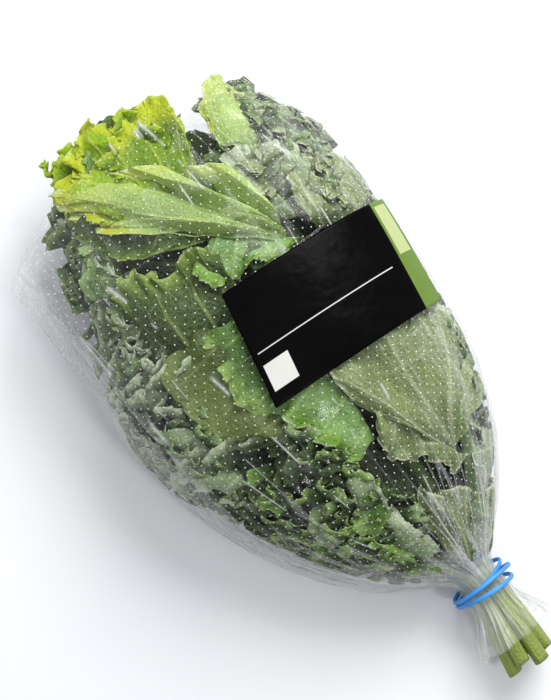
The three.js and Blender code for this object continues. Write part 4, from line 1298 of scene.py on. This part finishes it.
def film_material(name):
    """Clear film: mostly see-through, glossy where it turns away, hazy where gathered."""
    n = MaterialNodes(name)
    place = n.place()
    soft = n.noise(place, 14, 2, 0.5)
    cells = n.add("ShaderNodeTexVoronoi", {"Vector": place, "Scale": 30.0, "Randomness": 1.0},
                  feature="F1", distance="MINKOWSKI").outputs["Distance"]
    creases_and_painted_highlights = film_creases(n, place, soft)
    height = n.plus(cells, n.times(n.noise(place, 55, 2, 0.5, 0.8), 0.15))
    normal = n.bump(n.plus(height, n.times(creases_and_painted_highlights, 0.2)), 0.26, 0.004)
    streaks = n.ramp(n.noise(n.laid((420.0, 30.0)), 1.0, 3), ((0.42, 0.15), (0.66, 1.0)))
    haze = n.plus(0.001, n.times(n.times(n.attribute("whole"), streaks), 0.42))
    haze = n.plus(haze, n.times(n.ramp(soft, ((0.5, 0.0), (0.75, 1.0))), 0.008))
    # The crease lines whiten the haze: partly the film's own whitened creases, partly painted
    # highlights along them.
    haze = n.plus(haze, n.times(creases_and_painted_highlights, 0.3))
    clear = n.add("ShaderNodeBsdfTransparent", {"Color": (1.0, 1.0, 1.0, 1.0)}).outputs[0]
    white = n.add("ShaderNodeBsdfDiffuse", {"Color": linear(236, 240, 240), "Normal": normal})
    gloss = n.add("ShaderNodeBsdfGlossy", {
        "Color": (1.0, 1.0, 1.0, 1.0), "Roughness": 0.12, "Normal": normal})
    turn = n.add("ShaderNodeFresnel", {"IOR": 1.42, "Normal": normal}).outputs[0]
    share = n.math("MINIMUM", n.times(n.math("POWER", turn, 1.3), 0.5), 0.16)
    share = n.times(share, n.less(1.0, n.times(n.attribute("loose"), 0.2)))
    return n.finish(n.blend(share, n.blend(haze, clear, white.outputs[0]), gloss.outputs[0]))


def perforation_material(name):
    """The whitish, half see-through rim of a perforation."""
    n = MaterialNodes(name)
    shade = n.noise(n.place(), 300, 2)
    colour = n.ramp(shade, ((0.3, linear(226, 232, 226)), (0.7, linear(252, 254, 250))))
    rim = n.add("ShaderNodeBsdfPrincipled", {"Base Color": colour, "Roughness": 0.6}).outputs[0]
    return n.finish(n.blend(0.62, n.add("ShaderNodeBsdfTransparent").outputs[0], rim))


def band_material(name, colour):
    """Rubber, a little patchy and dusty."""
    n = MaterialNodes(name)
    place = n.place()
    patch, grain = n.noise(place, 90, 3), n.noise(place, 1500, 4, 0.7)
    shade = n.ramp(patch, ((0.3, (0.75, 0.8, 0.85, 1)), (0.7, (1.12, 1.08, 1.05, 1))))
    tinted = n.mix(1.0, tuple(colour) + (1.0,), shade, "MULTIPLY")
    dusty = n.mix(n.times(grain, 0.16), tinted, linear(190, 220, 240))
    return n.finish(n.coat(dusty, 0.48, 0.4, Normal=n.bump(grain, 0.4, 0.0002)))


# The label's end band starts here along it. Then its bare areas: where each starts and ends
# along and across it, in metres from its lower left corner, and its colour.
END_BAND_START = 0.0905
LABEL_AREAS = (
    ((0.0925, 0.1035), (0.029, 0.0555), (168, 180, 128)),  # the pale panel on the end band
    ((0.003, 0.083), (0.0252, 0.0257), (205, 206, 202)),  # the thin rule
    ((0.0028, 0.0158), (0.0065, 0.0195), (206, 206, 202)),  # the pale square
)
PRINT_SOFTNESS = 0.0001


def label_material(name):
    """A black glossy label with a green end band, a rule and bare pale panels."""
    n = MaterialNodes(name)
    split = n.add("ShaderNodeSeparateXYZ", {0: n.uv()})
    u, v = split.outputs["X"], split.outputs["Y"]

    def beyond(value, at):
        given = {"Value": value, "From Min": at - PRINT_SOFTNESS, "From Max": at + PRINT_SOFTNESS}
        return n.add("ShaderNodeMapRange", given).outputs[0]

    def inside(value, low, high):
        return n.less(beyond(value, low), beyond(value, high))

    blotch = n.noise(n.place(), 40, 3)
    black = n.mix(blotch, linear(3, 3, 4), linear(10, 10, 10))
    green = n.mix(blotch, linear(86, 112, 46), linear(108, 134, 68))
    colour = n.mix(inside(u, END_BAND_START, 0.2), black, green)
    for along, across, tone in LABEL_AREAS:
        colour = n.mix(n.times(inside(u, *along), inside(v, *across)), colour, linear(*tone))
    colour = n.mix(n.less(1.0, n.attribute("top")), colour, linear(196, 196, 190))
    height = n.plus(n.times(blotch, 3.0), n.times(n.noise(n.place(), 700, 3), 0.1))
    return n.finish(n.coat(colour, 0.26, 0.03, Coat_Weight=0.01, Coat_Roughness=0.1,
                             Normal=n.bump(height, 0.25, 0.0015)))


def floor_material(name):
    """A pale, dull table."""
    n = MaterialNodes(name)
    shade = n.noise(n.place(), 3.0, 3)
    colour = n.ramp(shade, ((0.3, linear(224, 227, 232)), (0.7, linear(232, 233, 236))))
    normal = n.bump(n.noise(n.place(), 900, 2), 0.04, 0.0004)
    return n.finish(n.coat(colour, 0.6, 0.25, Normal=normal))


# ---------------------------------------------------------------- settings

def length_setting(name, description, default, low, high):
    return bpy.props.FloatProperty(name=name, description=description, default=default,
                                   min=low, max=high, unit="LENGTH", precision=6)


def count_setting(name, description, default, low, high):
    return bpy.props.IntProperty(name=name, description=description, default=default,
                                 min=low, max=high)


def share_setting(name, description):
    return bpy.props.FloatProperty(name=name, description=description, default=1.0,
                                   min=0.0, max=3.0, subtype="FACTOR")


class KaleLeafSettings(bpy.types.PropertyGroup):
    rows: count_setting("Rows", "Rows of points along each half blade", 180, 60, 420)
    columns: count_setting("Columns", "Points from midrib to edge", 15, 10, 48)
    frills: share_setting("Frills", "Height of the margin's fine ruffles")
    overhang: share_setting("Overhang", "How far the ruffles fold over along the margin")
    thickness: length_setting("Thickness", "Thickness of a blade near its midrib", 0.0007,
                              0.0002, 0.0012)


class KaleFilmSettings(bpy.types.PropertyGroup):
    around: count_setting("Around", "Points round the sleeve", 200, 48, 300)
    along: count_setting("Along", "Points along the sleeve", 168, 40, 300)
    thickness: length_setting("Thickness", "Thickness of the film", 0.00012, 0.00005, 0.0006)
    pitch: length_setting("Pitch", "Distance between perforations", PITCH, 0.0025, 0.02)
    hole_radius: length_setting("Hole Radius", "Radius of a perforation's rim", HOLE_RADIUS,
                                0.0001, 0.001)


class KaleBandSettings(bpy.types.PropertyGroup):
    colour: bpy.props.FloatVectorProperty(
        name="Colour", description="Colour of the rubber", subtype="COLOR", size=3,
        default=linear(20, 140, 226)[:3], min=0.0, max=1.0)
    steps: count_setting("Steps", "Rings of points along the band", 260, 60, 600)
    sides: count_setting("Sides", "Points round the strand", 16, 6, 40)


class KaleLabelSettings(bpy.types.PropertyGroup):
    thickness: length_setting("Thickness", "Thickness of the label", 0.00035, 0.0001, 0.0006)
    long: count_setting("Long", "Faces along the label", 80, 20, 200)
    wide: count_setting("Wide", "Faces across the label", 46, 12, 120)


def power_setting(name, description, default):
    return bpy.props.FloatProperty(name=name, description=description, default=default,
                                   min=0.0, unit="POWER")


class KaleStageSettings(bpy.types.PropertyGroup):
    key_power: power_setting("Key Light", "Power of the main light", 17.0)
    fill_power: power_setting("Fill Light", "Power of the overhead light", 2.5)
    world: bpy.props.FloatProperty(
        name="Surroundings", description="Brightness of the surroundings", default=0.4, min=0.0)


# ---------------------------------------------------------------- operators

class KALE_OT_leaves(bpy.types.Operator):
    """Build the eight curly leaves, each from its cut stalk to its frilled margin"""

    bl_idname = "kale.leaves"
    bl_label = "Leaves"

    def execute(self, context):
        given = context.scene.kale_leaves
        skins = {tone: leaf_material("leaf_" + tone, palette, i)
                 for i, (tone, palette) in enumerate(TONES.items())}
        for k in range(len(LEAVES)):
            share = (0.7 if k + 1 in INNER_LEAVES else 1) * 1
            rows = int(given.rows * share)
            leaf = Leaf(k, given.frills, given.overhang, given.thickness * 1000)
            folds = [fold for fold in FOLDS if fold.leaf == k + 1]
            name = "leaf_%d" % (k + 1)
            piece = new_object(name, leaf.mesh(name, rows, given.columns, folds))
            for tone in [LEAF_TONES[k]] + [fold.tone for fold in folds]:
                piece.data.materials.append(skins[tone])
            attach(piece, "root")
            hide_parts("kale_leaf_%d" % (k + 1))
        return {"FINISHED"}


class KALE_OT_film(bpy.types.Operator):
    """Build the clear film sleeve with its creases"""

    bl_idname = "kale.film"
    bl_label = "Film Sleeve"

    def execute(self, context):
        given = context.scene.kale_film
        film = Film(given.around, given.along, given.thickness * 1000)
        piece = new_object("sleeve", film.mesh("sleeve"))
        piece.data.materials.append(film_material("clear_film"))
        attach(piece, "root")
        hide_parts("film_sleeve")
        return {"FINISHED"}


class KALE_OT_perforations(bpy.types.Operator):
    """Cover the film with its slanted lattice of small perforations"""

    bl_idname = "kale.perforations"
    bl_label = "Perforations"

    def execute(self, context):
        given = context.scene.kale_film
        piece = grown_on(bpy.data.objects["sleeve"], "perforations", perforation_tree(), {
            "Pitch": given.pitch, "Hole Radius": given.hole_radius,
            "Material": perforation_material("perforation_rims")})
        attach(piece, "root")
        return {"FINISHED"}


class KALE_OT_band(bpy.types.Operator):
    """Build the rubber band wound three times round the neck"""

    bl_idname = "kale.band"
    bl_label = "Rubber Band"

    def execute(self, context):
        given = context.scene.kale_band
        piece = new_object("band", band_mesh("band", given.steps, given.sides))
        piece.data.materials.append(band_material("blue_rubber", given.colour))
        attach(piece, "root")
        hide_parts("rubber_band")
        return {"FINISHED"}


class KALE_OT_label(bpy.types.Operator):
    """Build the glossy label that lies on the sleeve"""

    bl_idname = "kale.label"
    bl_label = "Label"

    def execute(self, context):
        given = context.scene.kale_label
        mesh = label_mesh("tag", given.long, given.wide, given.thickness * 1000)
        piece = new_object("tag", mesh)
        piece.data.materials.append(label_material("label_print"))
        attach(piece, "root")
        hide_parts("label")
        return {"FINISHED"}


def light(name, place, target, size, power, colour=(1, 1, 1)):
    """A soft rectangular light that faces its target."""
    data = bpy.data.lights.new(name, "AREA")
    data.shape, data.size, data.size_y = "RECTANGLE", size[0], size[1]
    data.energy, data.color = power, colour
    lamp = bpy.data.objects.new(name, data)
    lamp.location = place
    lamp.rotation_euler = (Vector(target) - Vector(place)).to_track_quat("-Z", "Y").to_euler()
    bpy.context.scene.collection.objects.link(lamp)


class KALE_OT_stage(bpy.types.Operator):
    """Lay the floor, and set the lights and the camera"""

    bl_idname = "kale.stage"
    bl_label = "Stage"

    def execute(self, context):
        given = context.scene.kale_stage
        mesh = bpy.data.meshes.new("floor")
        r, z = 4.0, -0.0003
        mesh.from_pydata([(-r, -r, z), (r, -r, z), (r, r, z), (-r, r, z)], [], [(0, 1, 2, 3)])
        floor = new_object("floor", mesh)
        mesh.materials.append(floor_material("pale_table"))
        right, up = Vector(VIEW_RIGHT), Vector(VIEW_UP)
        target = Vector(to_frame(TARGET))
        key = target + right * 0.32 + up * 0.78 + Vector((0, 0, 0.8))
        light("key", key, target, (0.7, 0.7), given.key_power, (1.0, 0.99, 0.97))
        light("overhead", target - right * 0.2 + Vector((0, 0, 1.6)), target, (1.6, 1.2),
              given.fill_power, (0.97, 0.985, 1.0))
        neck = Vector(to_frame(TARGET + np.array([60, -650, 1000])))
        light("glint", neck, target, (0.16, 0.16), given.key_power * 0.13)
        light("strip", target - right * 0.8 + up * 0.2 + Vector((0, 0, 0.8)), target,
              (1.2, 0.1), given.fill_power)
        world = bpy.data.worlds.new("studio")
        world.use_nodes = True
        background = world.node_tree.nodes["Background"]
        background.inputs[0].default_value = (0.97, 0.965, 1.0, 1)
        background.inputs[1].default_value = given.world
        context.scene.world = world
        data = bpy.data.cameras.new("camera")
        data.lens, data.sensor_width = 35.6 * DISTANCE / 350, 36
        data.clip_start, data.shift_x = 0.01, 0.004
        camera = bpy.data.objects.new("camera", data)
        back = Vector(towards_camera())
        side = (right - back * right.dot(back)).normalized()
        axes = Matrix((side, back.cross(side), back)).transposed().to_4x4()
        camera.matrix_world = Matrix.Translation(target + back * DISTANCE / 1000) @ axes
        context.scene.collection.objects.link(camera)
        context.scene.camera = camera
        context.scene.view_settings.view_transform = "Standard"
        return {"FINISHED"}


STEPS = (KALE_OT_leaves, KALE_OT_film, KALE_OT_perforations, KALE_OT_band, KALE_OT_label,
         KALE_OT_stage)
SETTINGS = {"kale_leaves": KaleLeafSettings, "kale_film": KaleFilmSettings,
            "kale_band": KaleBandSettings, "kale_label": KaleLabelSettings,
            "kale_stage": KaleStageSettings}


class KALE_PT_panel(bpy.types.Panel):
    """Lists the bunch's pieces and their settings"""

    bl_idname = "KALE_PT_panel"
    bl_label = "Kale Bunch"
    bl_space_type = "VIEW_3D"
    bl_region_type = "UI"
    bl_category = "Kale"

    def draw(self, context):
        for step in STEPS:
            self.layout.operator(step.bl_idname)
        for key, kind in SETTINGS.items():
            box = self.layout.box()
            for name in kind.__annotations__:
                box.prop(getattr(context.scene, key), name)


def register():
    for kind in SETTINGS.values():
        bpy.utils.register_class(kind)
    for kind in STEPS + (KALE_PT_panel,):
        bpy.utils.register_class(kind)
    for key, kind in SETTINGS.items():
        setattr(bpy.types.Scene, key, bpy.props.PointerProperty(type=kind))


def unregister():
    for key in SETTINGS:
        delattr(bpy.types.Scene, key)
    for kind in (KALE_PT_panel,) + STEPS[::-1] + tuple(SETTINGS.values())[::-1]:
        bpy.utils.unregister_class(kind)


def main():
    register()
    for step in STEPS:
        group, name = step.bl_idname.split(".")
        getattr(getattr(bpy.ops, group), name)()


if __name__ == "__main__":
    main()
